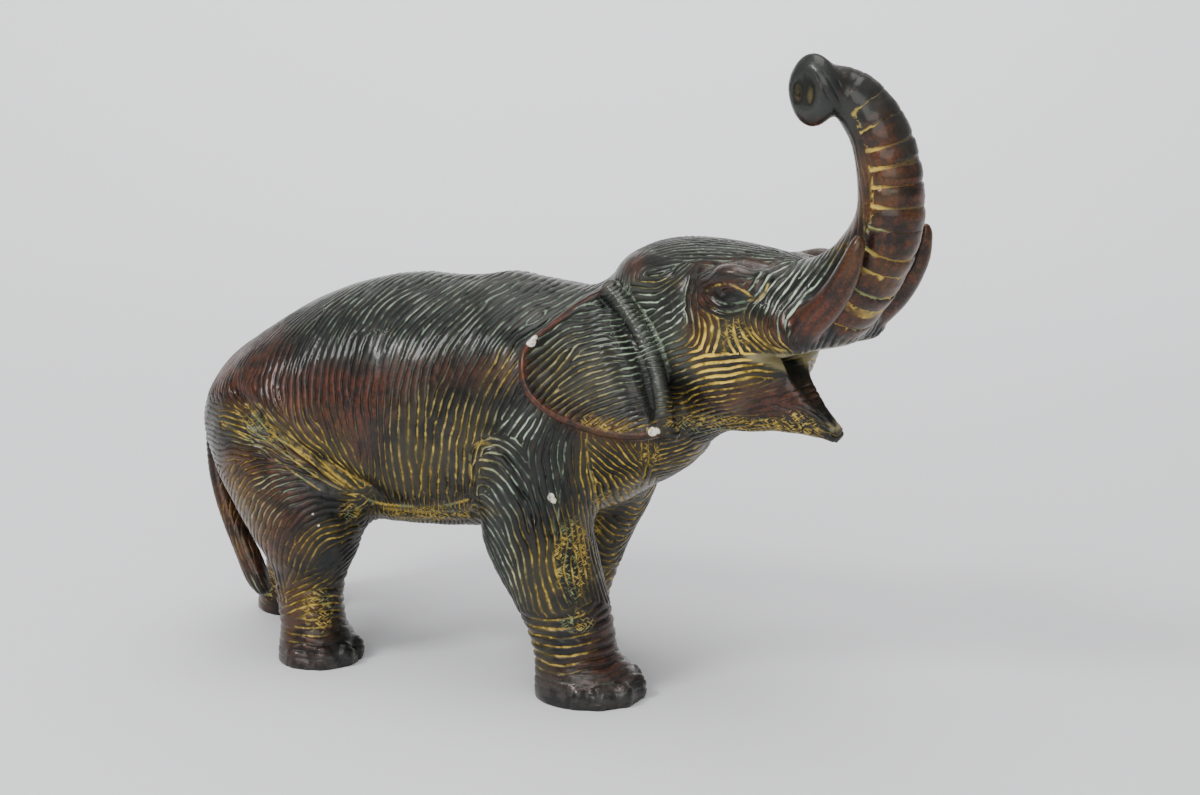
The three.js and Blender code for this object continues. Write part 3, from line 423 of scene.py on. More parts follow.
# Remeshes a copy of the imported body at a voxel size in millimetres and returns the new piece.
def remeshed(voxel):
    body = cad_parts["elephant"]
    piece = bpy.data.objects.new("bronze_elephant", body.data.copy())
    bpy.context.scene.collection.objects.link(piece)
    bpy.ops.object.select_all(action="DESELECT")
    piece.select_set(True)
    bpy.context.view_layer.objects.active = piece
    modifier = piece.modifiers.new("skin", "REMESH")
    modifier.mode = "VOXEL"
    modifier.voxel_size = voxel / 1000
    bpy.ops.object.modifier_apply(modifier=modifier.name)
    return piece


def arraysOf(mesh):
    places = np.empty(len(mesh.vertices) * 3, np.float32)
    mesh.vertices.foreach_get("co", places)
    edges = np.empty(len(mesh.edges) * 2, np.int32)
    mesh.edges.foreach_get("vertices", edges)
    return places.reshape(-1, 3).astype(float) * 1000 + drawnOrigin, edges.reshape(-1, 2)


def normalsOf(mesh, places):
    mesh.vertices.foreach_set("co", ((places - drawnOrigin) / 1000).astype(np.float32).ravel())
    mesh.update()
    n = np.empty(len(mesh.vertices) * 3, np.float32)
    mesh.vertices.foreach_get("normal", n)
    return n.reshape(-1, 3).astype(float)


def averaged(values, edges):
    a, b = edges.T
    count = np.bincount(a, minlength=len(values)) + np.bincount(b, minlength=len(values))
    total = np.stack([np.bincount(a, values[b, c], len(values)) + np.bincount(b, values[a, c], len(values))
                      for c in range(values.shape[1])], axis=1)
    return total / np.maximum(count, 1)[:, None]


# Draws the corners evenly over the skin and puts them on the drawn surface; soles stay on the ground.
def settle(mesh, places, edges, rounds, share):
    for _ in range(rounds):
        places += share * (averaged(places, edges) - places)
        normals = normalsOf(mesh, places)
        d = np.maximum(figure(places), -places[:, 2])
        places -= normals * np.clip(d, -0.8, 0.8)[:, None]
        places[places[:, 2] < 0.02, 2] = 0
    return places


def photoPoint(at):
    rel = (at - drawnOrigin) / 1000 - np.array(photo["at"])
    a, e = math.radians(photo["round"]), math.radians(photo["down"])
    right = np.array([math.cos(a), math.sin(a), 0])
    ahead = np.array([-math.sin(a) * math.cos(e), math.cos(a) * math.cos(e), -math.sin(e)])
    up = np.cross(right, ahead)
    depth = rel @ ahead
    return np.stack([photo["middle"][0] + photo["focal"] * (rel @ right) / depth,
                     photo["middle"][1] - photo["focal"] * (rel @ up) / depth], axis=1), right, up, ahead


# Takes a place on the figure's left to the like place on its right, which the photograph shows.
def seen(at, ofHead):
    moved = at.copy()
    h = inHead(at)
    h[:, 1] = -np.abs(h[:, 1])
    left = at[:, 1] > 0
    moved[left, 1] *= -1
    z = at[:, 2]
    fore = np.interp(z, [2, 18, 31, 47, 60, 76, 98], [27.5, 24.7, 19.3, 9.5, 1, -8, -18])
    hind = np.interp(z, [2, 15, 28, 41, 54, 68, 88], [42.5, 40, 36, 30.5, 23.5, 16, 6])
    shift = np.where(at[:, 0] > -45, fore, hind) * (1 - step(70, 100, z))
    moved[left, 0] += shift[left]
    moved[ofHead] = outOfHead(h)[ofHead]
    mirrored = np.where(ofHead, inHead(at)[:, 1] > 0, left)
    return moved, mirrored


# Each stroke follows wrinkles as they show in the photograph: spacing in millimetres, then its points one by one.
strokes = [
    [3.6, 500, 275, 462, 300, 432, 330, 416, 360, 408, 400, 404, 440, 402, 490],
    [3.6, 545, 283, 510, 305, 480, 335, 462, 370, 450, 400, 442, 440, 438, 490],
    [3.6, 585, 290, 535, 322, 505, 350, 490, 375, 478, 400, 469, 430, 465, 480],
    [3.4, 430, 273, 400, 290, 376, 312, 362, 350, 358, 390, 360, 430, 366, 470],
    [3.2, 395, 274, 368, 294, 348, 318, 334, 350, 328, 390, 335, 430, 352, 466, 364, 486],
    [3.0, 360, 288, 332, 308, 312, 335, 300, 365, 296, 400, 306, 430, 330, 462, 360, 490],
    [2.6, 325, 302, 300, 320, 280, 345, 266, 375, 268, 405, 288, 432, 315, 458, 355, 488],
    [2.4, 292, 318, 270, 335, 252, 358, 242, 384, 254, 408, 275, 430, 302, 456, 345, 488],
    [2.4, 262, 335, 242, 352, 228, 376, 226, 396, 246, 412, 272, 434, 300, 460],
    [2.2, 220, 412, 244, 418, 268, 432, 298, 455], [2.2, 216, 430, 240, 434, 268, 442, 300, 459],
    [2.4, 216, 448, 245, 448, 280, 456, 308, 468], [2.4, 306, 470, 278, 464, 250, 468, 230, 484, 222, 510, 226, 540],
    [2.6, 322, 482, 294, 478, 264, 488, 246, 510, 242, 540, 254, 572],
    [2.6, 334, 494, 304, 492, 278, 508, 264, 532, 264, 562, 274, 590],
    [2.8, 350, 508, 322, 508, 298, 522, 284, 546, 280, 572, 284, 596],
    [2.8, 352, 526, 322, 532, 308, 546, 298, 562, 288, 582], [2.6, 366, 505, 350, 520, 330, 530],
    [3.0, 286, 592, 306, 584, 326, 572, 342, 558], [3.2, 284, 610, 310, 602, 330, 600, 346, 600],
    [3.4, 286, 632, 308, 633, 330, 632, 352, 628], [3.4, 288, 655, 310, 656, 340, 654, 360, 650],
    [2.4, 352, 492, 368, 486, 374, 470, 372, 440], [2.6, 384, 440, 382, 470, 390, 498], [1.8, 376, 506, 377, 518],
    [1.8, 400, 504, 400, 519], [1.8, 430, 504, 430, 519], [1.8, 465, 502, 466, 514],
    [3.4, 556, 322, 528, 352, 508, 378, 494, 404, 484, 430, 476, 460, 472, 500],
    [2.8, 574, 350, 548, 384, 524, 410, 508, 430],
    [3.0, 474, 446, 496, 441, 514, 452, 530, 478, 540, 505, 546, 532, 552, 562, 560, 590],
    [3.2, 474, 464, 492, 461, 508, 474, 522, 496, 531, 520, 536, 548, 540, 580, 548, 606],
    [3.2, 474, 482, 490, 480, 503, 492, 515, 514, 524, 540, 530, 570, 535, 600],
    [3.0, 474, 502, 488, 504, 500, 517, 510, 537, 518, 562, 524, 592],
    [3.0, 476, 520, 490, 536, 501, 558, 511, 580, 518, 602], [2.8, 546, 420, 534, 446, 534, 476, 542, 500],
    [2.8, 566, 420, 556, 446, 560, 478, 566, 508, 574, 540, 580, 575],
    [2.8, 584, 440, 582, 470, 588, 500, 592, 535, 598, 568, 608, 598], [2.6, 572, 545, 566, 570, 574, 596],
    [3.6, 524, 622, 546, 628, 572, 624, 598, 616, 616, 606], [3.6, 532, 642, 560, 644, 590, 641, 620, 632],
    [3.6, 538, 660, 562, 662, 592, 659, 624, 652], [3.6, 542, 680, 570, 682, 600, 680, 636, 672],
    [2.6, 588, 446, 606, 460, 628, 476, 646, 488], [2.6, 596, 464, 612, 482, 628, 498, 640, 506],
    [2.4, 612, 438, 626, 452, 640, 470], [2.4, 588, 470, 597, 495, 606, 520], [2.6, 650, 440, 650, 458, 645, 476],
    [2.8, 655, 466, 680, 462, 704, 454], [2.8, 662, 452, 690, 447, 716, 438],
    [2.8, 650, 490, 636, 520, 622, 556, 614, 590],
    [2.6, 628, 290, 634, 264, 650, 250, 680, 241, 720, 243, 762, 250, 800, 258],
    [2.6, 650, 262, 676, 254, 706, 256, 740, 258, 780, 262], [2.6, 632, 286, 650, 290, 670, 284, 688, 270],
    [3.0, 640, 306, 662, 302, 680, 290], [3.0, 650, 326, 668, 318, 684, 304], [3.0, 660, 346, 676, 338, 690, 326],
    [3.0, 692, 272, 688, 300, 692, 326], [3.0, 704, 278, 730, 268, 764, 272, 784, 262],
    [3.0, 706, 306, 726, 316, 744, 306], [2.8, 712, 318, 716, 330, 712, 344], [3.0, 730, 320, 732, 334, 736, 346],
    [2.8, 674, 372, 700, 364, 736, 362, 772, 360], [2.8, 674, 388, 704, 380, 740, 372, 776, 366],
    [2.8, 678, 404, 708, 394, 744, 386, 778, 376], [3.0, 684, 416, 720, 406, 760, 398, 792, 388],
    [2.6, 700, 426, 740, 418, 780, 414, 816, 428], [2.8, 770, 268, 758, 288, 746, 304, 742, 324, 754, 342, 774, 356],
    [3.2, 800, 260, 788, 282, 772, 302, 762, 322, 768, 340, 782, 352],
    [3.6, 822, 260, 808, 280, 790, 302, 778, 320, 780, 336], [3.8, 844, 250, 834, 270, 814, 296, 796, 316, 790, 332],
    [3.8, 858, 232, 852, 250, 838, 276], [2.4, 616, 312, 592, 314, 566, 322, 540, 340],
    [2.4, 628, 332, 596, 334, 564, 344, 538, 362], [2.4, 640, 350, 606, 354, 572, 366, 546, 384],
    [2.4, 646, 370, 614, 376, 582, 390, 558, 404], [2.4, 650, 392, 620, 400, 592, 412, 574, 422],
    [2.4, 652, 412, 630, 418, 606, 430], [1.7, 604, 306, 622, 296], [1.7, 622, 328, 640, 316],
    [1.7, 640, 352, 656, 344], [1.7, 648, 378, 666, 374], [1.7, 650, 404, 668, 402],
    [6.0, 866, 210, 892, 206, 920, 200], [6.0, 864, 130, 884, 124, 904, 112],
    [3.0, 862, 240, 862, 210, 858, 170, 848, 130, 832, 100],
]

# Softly bounded spots, as they show in the photograph: centre, half sizes, tilt in degrees, strength.
spots = {
    "ochre": [
        (575, 380, 50, 46, 30, 0.45), (250, 520, 40, 70, 0, 0.35), (300, 440, 60, 40, 0, 0.3),
        (440, 450, 62, 66, 0, 0.75), (404, 470, 40, 40, 0, 0.35), (330, 462, 60, 24, 40, 0.95),
        (358, 496, 20, 16, 40, 1.0), (252, 426, 40, 22, 20, 0.95), (430, 511, 70, 11, 0, 1.0),
        (330, 534, 34, 14, -20, 0.9), (302, 556, 20, 26, 20, 0.5), (312, 602, 36, 30, 0, 0.85),
        (300, 632, 26, 12, 0, 0.8), (572, 560, 30, 60, 0, 0.95), (545, 580, 20, 60, 0, 0.7),
        (556, 646, 40, 32, 0, 0.9), (618, 472, 48, 46, 0, 1.0), (682, 456, 40, 20, 0, 0.9),
        (622, 545, 24, 60, 0, 1.0), (726, 356, 54, 46, 0, 1.6), (700, 404, 40, 22, 0, 0.9),
        (770, 428, 70, 14, 5, 0.7), (880, 240, 50, 110, 0, 0.95), (590, 465, 14, 50, 0, 0.8),
        (500, 372, 30, 20, -50, 0.6), (716, 330, 24, 16, 0, 0.6), (624, 428, 46, 12, 0, 0.7),
        (775, 348, 18, 14, 0, 0.9), (520, 560, 14, 50, 0, 0.5), (660, 284, 30, 10, 0, 0.4),
        (240, 480, 26, 34, 0, 0.4), (886, 320, 40, 26, -30, 0.9),
    ],
    "russet": [
        (258, 520, 56, 76, 0, 0.75), (330, 405, 60, 36, 0, 0.6), (306, 620, 34, 40, 0, 0.5),
        (234, 372, 34, 46, -30, 1.0), (805, 120, 16, 7, 0, 1.0), (262, 350, 34, 40, 0, 0.5),
        (330, 392, 90, 30, 0, 0.75), (345, 420, 60, 24, 0, 0.6), (455, 372, 90, 20, 0, 0.45),
        (365, 450, 26, 18, 0, 0.5), (246, 500, 40, 66, 0, 0.55), (262, 458, 60, 16, 0, 0.5),
        (740, 266, 44, 9, 0, 0.9), (700, 320, 18, 50, 0, 0.7), (634, 264, 12, 18, 0, 0.9), (755, 400, 60, 22, 0, 0.8),
        (296, 604, 26, 30, 0, 0.5), (606, 640, 30, 40, 0, 0.6), (590, 676, 60, 24, 0, 0.45),
        (780, 330, 34, 20, 0, 0.7), (890, 200, 50, 120, 0, 0.95), (735, 284, 30, 8, 0, 0.6),
        (600, 430, 60, 16, 20, 0.6), (300, 655, 40, 22, 0, 0.3),
    ],
    "green": [
        (440, 300, 200, 60, 0, 0.7), (790, 292, 50, 44, 0, 1.5), (662, 312, 34, 40, 0, 1.6),
        (700, 250, 120, 26, 0, 0.7), (500, 476, 40, 50, 0, 0.9), (524, 426, 30, 22, 0, 1.5),
        (266, 500, 26, 44, 30, 0.8), (596, 350, 70, 66, 0, 0.85), (640, 340, 24, 60, 40, 1.1),
        (300, 450, 20, 8, 40, 0.6), (555, 470, 8, 50, 8, 0.8), (506, 560, 20, 50, -20, 1.3),
        (690, 372, 16, 14, 0, 0.8), (250, 440, 26, 8, 12, 0.8), (590, 690, 60, 14, 0, 0.3),
        (255, 585, 16, 16, 0, 0.9), (440, 420, 90, 60, 0, 0.2),
    ],
    "smooth": [
        (665, 262, 26, 8, -6, 0.8), (628, 266, 34, 15, -20, 0.9), (726, 290, 28, 17, 8, 1.0),
        (324, 488, 24, 9, 12, 1.0), (300, 640, 60, 40, 0, 0.45), (590, 690, 70, 26, 0, 0.75),
        (736, 270, 38, 9, 0, 0.9), (692, 305, 9, 34, 0, 0.15), (262, 305, 60, 16, -25, 0.55),
        (344, 283, 60, 14, -22, 0.6), (650, 262, 20, 12, 0, 0.5), (729, 294, 18, 9, 10, 1.0),
        (800, 420, 50, 30, 0, 0.6), (380, 352, 24, 22, 0, 0.35), (310, 684, 60, 20, 0, 0.8),
        (400, 470, 22, 34, 0, 0.5), (545, 690, 20, 30, 0, 0.6), (800, 372, 30, 26, 0, 1.0),
    ],
    "hatch": [
        (572, 560, 20, 46, 0, 1.0), (578, 622, 22, 14, 0, 0.6), (760, 426, 60, 9, 4, 1.0),
        (800, 424, 24, 14, 30, 0.7), (700, 424, 40, 12, 0, 0.8), (604, 424, 40, 10, 10, 0.45),
        (430, 514, 50, 8, 0, 0.9), (350, 512, 14, 12, 0, 0.7), (736, 334, 22, 18, 0, 0.5), (604, 505, 14, 16, 0, 0.8),
        (318, 610, 20, 30, 0, 0.6), (650, 455, 14, 16, 0, 0.6), (262, 430, 30, 14, 30, 0.5),
    ],
    # Polished spots: glossier, and also painted a lighter grey as painted highlights on the brow, dome, flank, thigh
    # and toes.
    "polishAndPaintedHighlight": [
        (324, 487, 24, 9, 12, 1.0), (378, 350, 9, 22, 0, 0.8), (398, 344, 11, 11, 0, 0.8), (742, 269, 30, 6, 0, 1.2),
        (590, 690, 60, 20, 0, 0.7), (320, 664, 46, 16, 0, 0.6), (468, 350, 10, 20, 20, 0.6),
        (546, 376, 12, 10, 0, 0.5), (655, 372, 6, 16, 0, 0.8), (338, 513, 14, 6, 0, 0.7),
    ],
}

# Single lines cut by hand, or raised where the depth is below zero: where, depth and width in millimetres,
# which paint is left in them, and their way in the photograph.
carvings = [
    ("head", 1.4, 1.0, "none", (599, 298), (612, 312), (626, 330), (638, 350), (646, 370), (650, 392), (652, 410)),
    # The wash lines paint a paler ground along the ear's rib and over the temple: partly a pale wash, partly painted
    # light over the shade the rib casts on the temple.
    ("head", -0.9, 2.3, "wash", (608, 288), (622, 303), (636, 323), (648, 344), (656, 366), (661, 392), (662, 410)),
    ("head", 0.0, 7.0, "wash", (636, 292), (660, 322), (676, 356)),
    ("head", 0.6, 0.6, "green", (616, 281), (632, 297), (648, 318), (661, 343), (670, 372)),
    ("head", 0.9, 0.6, "ochre", (706, 291), (714, 286), (728, 284), (740, 288), (752, 297)),
    ("head", 0.8, 0.6, "green", (712, 297), (722, 303), (736, 304), (748, 300)),
    ("head", 0.7, 0.6, "green", (716, 309), (730, 312), (746, 308)),
    ("head", 0.7, 0.6, "ochre", (748, 300), (757, 300), (765, 292), (768, 284)),
    ("head", -1.7, 3.0, "none", (722, 271), (742, 268), (764, 272)),
    ("head", 0.8, 1.2, "none", (712, 268), (726, 262), (748, 260), (768, 263)),
    ("head", 0.6, 0.7, "ochre", (786, 352), (776, 350), (764, 344), (752, 332)),
    ("body", 0.6, 0.5, "none", (569, 704), (572, 693), (582, 687), (592, 691), (596, 702)),
    ("body", 0.6, 0.5, "none", (599, 703), (602, 692), (609, 688), (616, 694), (618, 704)),
    ("body", 0.6, 0.5, "none", (629, 692), (632, 682), (640, 678), (646, 686)),
    ("body", 0.6, 0.5, "none", (288, 664), (292, 654), (300, 650), (307, 655), (309, 664)),
    ("body", 0.6, 0.5, "none", (343, 668), (346, 654), (352, 646), (358, 650), (360, 662)),
    ("body", 0.4, 0.5, "green", (566, 442), (563, 470), (560, 498), (558, 522)),
    ("body", 0.4, 0.8, "none", (383, 338), (380, 356), (378, 376)),
    ("body", 0.7, 0.5, "ochre", (246, 404), (262, 424), (290, 446), (322, 470), (354, 493)),
    ("body", 0.6, 0.5, "ochre", (236, 410), (256, 432), (288, 456), (322, 480), (356, 497)),
    ("body", 0.5, 0.45, "ochre", (258, 404), (276, 424), (302, 446), (334, 472), (356, 490)),
    ("body", 0.5, 0.45, "ochre", (272, 436), (302, 452), (328, 470), (354, 490)),
    ("body", 0.5, 0.45, "ochre", (222, 424), (250, 440), (284, 466), (320, 490)),
    ("body", 0.5, 0.7, "ochre", (362, 496), (380, 504), (410, 507), (440, 507), (468, 500)),
    ("body", 0.6, 0.6, "ochre", (586, 440), (588, 462), (594, 486), (600, 512)),
]

# Small chips through to the pale metal: place in the photograph and radius in millimetres.
chips = [(531, 342, 2.0), (534, 338, 1.4), (653, 432, 1.9), (657, 431, 1.4), (551, 497, 1.7), (553, 500, 1.3),
         (318, 525, 0.55), (329, 535, 0.4), (313, 514, 0.5)]


def spotMask(name, px):
    total = np.zeros(len(px))
    for cx, cy, rx, ry, tilt, strength in spots[name]:
        a = math.radians(tilt)
        dx, dy = px[:, 0] - cx, px[:, 1] - cy
        u = (dx * math.cos(a) + dy * math.sin(a)) / rx
        v = (-dx * math.sin(a) + dy * math.cos(a)) / ry
        r = np.hypot(u, v)
        spot = 1 - step(0.35, 1.25, r)
        added = 1 - np.maximum(1 - total, 0) * (1 - min(strength, 1) * spot)
        total = np.maximum(added, np.maximum(total, strength * spot))
    return total


random = np.random.default_rng(7)
waves = random.normal(size=(40, 3))
waves /= np.linalg.norm(waves, axis=1)[:, None]
wavePhase = random.uniform(0, 2 * math.pi, 40)


# A smooth random field of a given grain in millimetres, about -1 to 1.
def haze(at, grain):
    total = np.zeros(len(at))
    for w, p, f in zip(waves, wavePhase, np.linspace(0.6, 1.6, 40)):
        total += np.sin(at @ w * (f * 2 * math.pi / grain) + p)
    return total / 5.5


def headMirrored(v):
    h = np.stack([v[:, :2] @ headForward, -(v[:, :2] @ headLeft)], axis=1)
    return h[:, :1] * headForward + h[:, 1:] * headLeft


# Which way the wrinkles run at each place: the turn per millimetre of their phase, as a vector in the skin.
def wrinkleTurn(at, normals, ofHead):
    where, mirrored = seen(at, ofHead)
    px, right, up, ahead = photoPoint(where)
    double = np.zeros((len(at), 2))
    spacing = np.zeros(len(at))
    weight = np.zeros(len(at))
    for pitch, *way in strokes:
        points = np.array(way, float).reshape(-1, 2)
        if len(points) > 2:
            points = through(points, 2)
        for a, b in zip(points[:-1], points[1:]):
            d = b - a
            t = np.clip(((px - a) @ d) / (d @ d), 0, 1)
            near = ((px - a - t[:, None] * d) ** 2).sum(1)
            w = 1 / (near + 18) ** 3
            angle = 2 * math.atan2(d[1], d[0])
            double[:, 0] += w * math.cos(angle)
            double[:, 1] += w * math.sin(angle)
            spacing += w * pitch
            weight += w
    spacing /= weight
    half = np.arctan2(double[:, 1], double[:, 0]) / 2
    flow = np.cos(half)[:, None] * right - np.sin(half)[:, None] * up
    n = normals.copy()
    n[mirrored & ~ofHead, 1] *= -1
    n[mirrored & ofHead, :2] = headMirrored(n)[mirrored & ofHead]
    facing = n @ ahead
    facing = np.where(np.abs(facing) < 0.3, np.where(facing < 0, -0.3, 0.3), facing)
    flow -= ((flow * n).sum(1) / facing)[:, None] * ahead
    flow -= (flow * n).sum(1)[:, None] * n
    flow /= np.maximum(np.linalg.norm(flow, axis=1), 1e-6)[:, None]
    across = np.cross(n, flow)
    back = across.copy()
    back[mirrored & ~ofHead, 1] *= -1
    back[mirrored & ofHead, :2] = headMirrored(across)[mirrored & ofHead]
    return back * (2 * math.pi / spacing)[:, None], px


# Lets the phases of neighbours agree with the turn between them, round after round.
def agree(phase, at, turn, edges, rounds):
    i = np.concatenate([edges[:, 0], edges[:, 1]])
    j = np.concatenate([edges[:, 1], edges[:, 0]])
    order = np.argsort(i, kind="stable")
    i, j = i[order], j[order]
    starts = np.searchsorted(i, np.arange(len(at)))
    opposed = (turn[i] * turn[j]).sum(1) < 0
    sign = np.where(opposed, -1.0, 1.0)
    between = ((turn[i] + sign[:, None] * turn[j]) / 2 * (at[i] - at[j])).sum(1)
    alike = np.abs((turn[i] * turn[j]).sum(1)) / (np.linalg.norm(turn[i], axis=1) * np.linalg.norm(turn[j], axis=1))
    carry = (step(0.45, 0.85, alike) * np.exp(1j * between)).astype(np.complex64)
    z = phase.astype(np.complex64)
    for _ in range(rounds):
        met = z[j]
        np.conjugate(met, out=met, where=opposed)
        total = np.add.reduceat(met * carry, starts)
        z = total / np.maximum(np.abs(total), 1e-6)
    return z


def headOf(at):
    h = inHead(at)
    near = h[:, 0] > -30
    result = np.zeros(len(at), bool)
    chosen = np.nonzero(near)[0]
    hh = h[chosen]
    body = bodyDistance(at[chosen])
    head = headDistance(hh, False)
    hh[:, 1] = -np.abs(hh[:, 1])
    head = np.minimum(head, np.minimum(earShape(hh)[0], earRib.distance(hh)))
    result[chosen] = head < body
    return result


def treeOf(places):
    tree = kdtree.KDTree(len(places))
    for i, p in enumerate(places.tolist()):
        tree.insert(p, i)
    tree.balance()
    return tree


def nearestIn(tree, places):
    return np.array([tree.find(p)[1] for p in places.tolist()])


# Voxel sizes in millimetres, coarse to fine, and how often the wrinkles are brought to agree at each.
levels = [(3.0, 260), (1.3, 120), (0.62, 26)]
known = None
for voxel, rounds in levels:
    piece = remeshed(voxel)
    mesh = piece.data
    places, edges = arraysOf(mesh)
    last = voxel == levels[-1][0]
    places = settle(mesh, places, edges, 4 if last else 2, 0.5)
    normals = normalsOf(mesh, places)
    ofHead = headOf(places)
    turn, px = wrinkleTurn(places, normals, ofHead)
    if known is None:
        phase = np.exp(1j * random.uniform(0, 2 * math.pi, len(places)))
    else:
        tree, oldPlaces, oldTurn, oldPhase = known
        nearest = nearestIn(tree, places)
        opposed = (turn * oldTurn[nearest]).sum(1) < 0
        carried = np.where(opposed, np.conj(oldPhase[nearest]), oldPhase[nearest])
        phase = carried * np.exp(1j * (turn * (places - oldPlaces[nearest])).sum(1))
    phase = agree(phase, places, turn, edges, rounds)
    say(f"skin at {voxel} mm: {len(places)} corners")
    if not last:
        known = (treeOf(places), places, turn, phase)
        bpy.data.objects.remove(piece)
        bpy.data.meshes.remove(mesh)

relief = {"groove": 0.55, "lump": 0.16, "sway": 0.36, "triangles": 194000}
h = inHead(places)
sided = h.copy()
sided[:, 1] = -np.abs(h[:, 1])
earFar, earChosen, earS, _, _, earIn = earShape(sided)
masks = {name: spotMask(name, px) for name in spots}
onEar = np.zeros(len(places))
onEar[earChosen] = (1 - step(0.4, 1.6, np.abs(earFar[earChosen]))) * (earS > -2)
earRimMask = np.zeros(len(places))
earRimMask[earChosen] = (1 - step(1.8, 3.4, earIn)) * onEar[earChosen]
onRib = 1 - step(0.3, 1.2, earRib.distance(sided))
onTusk = (1 - step(0.2, 1.0, tusk.distance(sided))) * step(80, 90, h[:, 0])
onTrunk = (1 - step(0.5, 2.0, trunk.distance(h))) * ofHead
along, front = np.zeros(len(places)), np.full(len(places), -1.0)
near, chosen, alongHere, frontHere = trunkPlace(h)
along[chosen], front[chosen] = alongHere, frontHere
trunkFront = onTrunk * step(0.0, 0.16, front) * step(26, 34, along)
trunkHigh = onTrunk * np.maximum(step(100, 114, along), step(86, 100, along) * step(0.75, 0.95, front))
onTip = ofHead * (1 - step(0.4, 1.4, trunkTip.distance(h))) * step(0.3, 1.4, near)
inTip = ofHead * (1 - step(0.2, 0.9, tipDish.distance(h)))
inNostril = ofHead * np.max([1 - step(0.1, 0.8, n.distance(h)) for n in nostrils], axis=0)
onTail = 1 - step(0.3, 1.2, tail.distance(places))
inMouth = ofHead * (1 - step(0.3, 1.5, np.abs(gapeDistance(h)))) * (h[:, 0] > 62)
sole = places[:, 2] < 0.05
low = 1 - step(2.0, 12.0, places[:, 2])

smooth = np.max([masks["smooth"], onTusk, trunkFront, 0.75 * trunkHigh, onTip, inTip, 0.6 * onTail, earRimMask,
                 inMouth, 0.7 * low], axis=0)
strength = (1 - smooth) * np.clip(0.9 + 0.4 * haze(places, 22) + 0.3 * haze(places + 40, 9), 0.25, 1.25)
strength *= 1 - 0.75 * onTrunk * (1 - step(0.0, 0.16, front)) * step(50, 62, along)
strength *= np.where(onEar > 0.5, 0.95, 1.0) * np.where(onRib > 0.5, 0.8, 1.0)
sway = np.stack([haze(places + shift, 17) for shift in (50, 90, 130)], axis=1) \
    + 0.35 * np.stack([haze(places + shift, 6) for shift in (170, 210, 250)], axis=1)
phase = phase * np.exp(1j * (turn * sway * relief["sway"]).sum(1))
groove = np.exp(-(np.abs(np.angle(phase)) / 0.9) ** 2)
depth = relief["groove"] * strength * (groove - 0.3)
depth += relief["lump"] * haze(places, 14) * 0.5
carved = {paint: np.zeros(len(places)) for paint in ("none", "wash", "green", "ochre")}
for where, deep, wide, paint, *points in carvings:
    some = np.nonzero(ofHead if where == "head" else ~ofHead & (places[:, 1] < 0))[0]
    away = lineAway(points, px[some, 0], px[some, 1]) / photo["perMillimetre"]
    line = np.exp(-(away / wide) ** 2)
    depth[some] += deep * line
    strength[some] *= 1 - 0.6 * line * (paint != "wash")
    carved[paint][some] = np.maximum(carved[paint][some], np.exp(-(away / (wide + 0.1)) ** 2))
depth[sole] = 0
places -= normals * depth[:, None]
places[:, 2] = np.where(sole, 0, np.maximum(places[:, 2], 0.01))
normalsOf(mesh, places)


def store(name, *values):
    filled = np.zeros((len(places), 3), np.float32)
    filled[:, :len(values)] = np.stack(values, axis=1)
    mesh.attributes.new(name, "FLOAT_VECTOR", "POINT").data.foreach_set("vector", filled.ravel())


creasePaint = np.zeros(len(places))
body = ~ofHead & (np.abs(places[:, 1]) > 14)
for right, left, *_ in creases:
    for line, side in ((right, places[:, 1] < 0), (left, places[:, 1] >= 0)):
        some = np.nonzero(body & side)[0]
        away = lineAway(line, places[some, 0], places[some, 2])
        creasePaint[some] = np.maximum(creasePaint[some], np.exp(-(away / 1.1) ** 2))
russet = np.max([masks["russet"], 0.95 * onTusk, earRimMask, 0.9 * trunkFront], axis=0)
russet = np.maximum(russet * (1 - 0.85 * trunkHigh) * (1 - onTip), onTip * (1 - step(233, 238, places[:, 2])))
farForeleg = step(8, 20, places[:, 1]) * step(-30, -20, places[:, 0]) * (1 - step(80, 100, places[:, 2]))
ochre = np.maximum(masks["ochre"], 0.9 * farForeleg * (1 - low))
store("tint", masks["green"], ochre, russet)
store("carve", carved["green"], carved["ochre"], masks["hatch"])
# The first channel is the wash: a paler ground that is partly painted light over the temple's shade.
store("wash", carved["wash"], trunkHigh, np.maximum(onTip, inTip))
# Its second channel is the polished spots, which also carry a painted highlight.
store("mark", strength, masks["polishAndPaintedHighlight"])
store("paint", np.maximum(inTip, 2 * inNostril), creasePaint, inMouth)
store("trunk", along / trunkRings["pitch"], front, onTrunk * step(26, 34, along) * (1 - step(112, 120, along)))

# Each chip sits where the photograph shows it, on the nearest of the corners that it sees.
n = normals @ photoPoint(places[:1])[3]
shown = np.nonzero((n < -0.25) & (places[:, 1] < 20))[0]
chipPlaces = []
for cx, cy, radius in chips:
    nearest = shown[np.argmin(((px[shown] - (cx, cy)) ** 2).sum(1))]
    chipPlaces.append(((places[nearest] - drawnOrigin) / 1000, radius / 1000))
tree = treeOf(places)
say("relief")

bpy.ops.object.select_all(action="DESELECT")
piece.select_set(True)
bpy.context.view_layer.objects.active = piece
mesh.calc_loop_triangles()
ratio = relief["triangles"] / len(mesh.loop_triangles)
if ratio < 1:
    modifier = piece.modifiers.new("thin", "DECIMATE")
    modifier.ratio = ratio
    bpy.ops.object.modifier_apply(modifier=modifier.name)
mesh = piece.data
mesh.shade_smooth()
mesh.calc_loop_triangles()
say(f"thinned to {len(mesh.loop_triangles)} triangles")

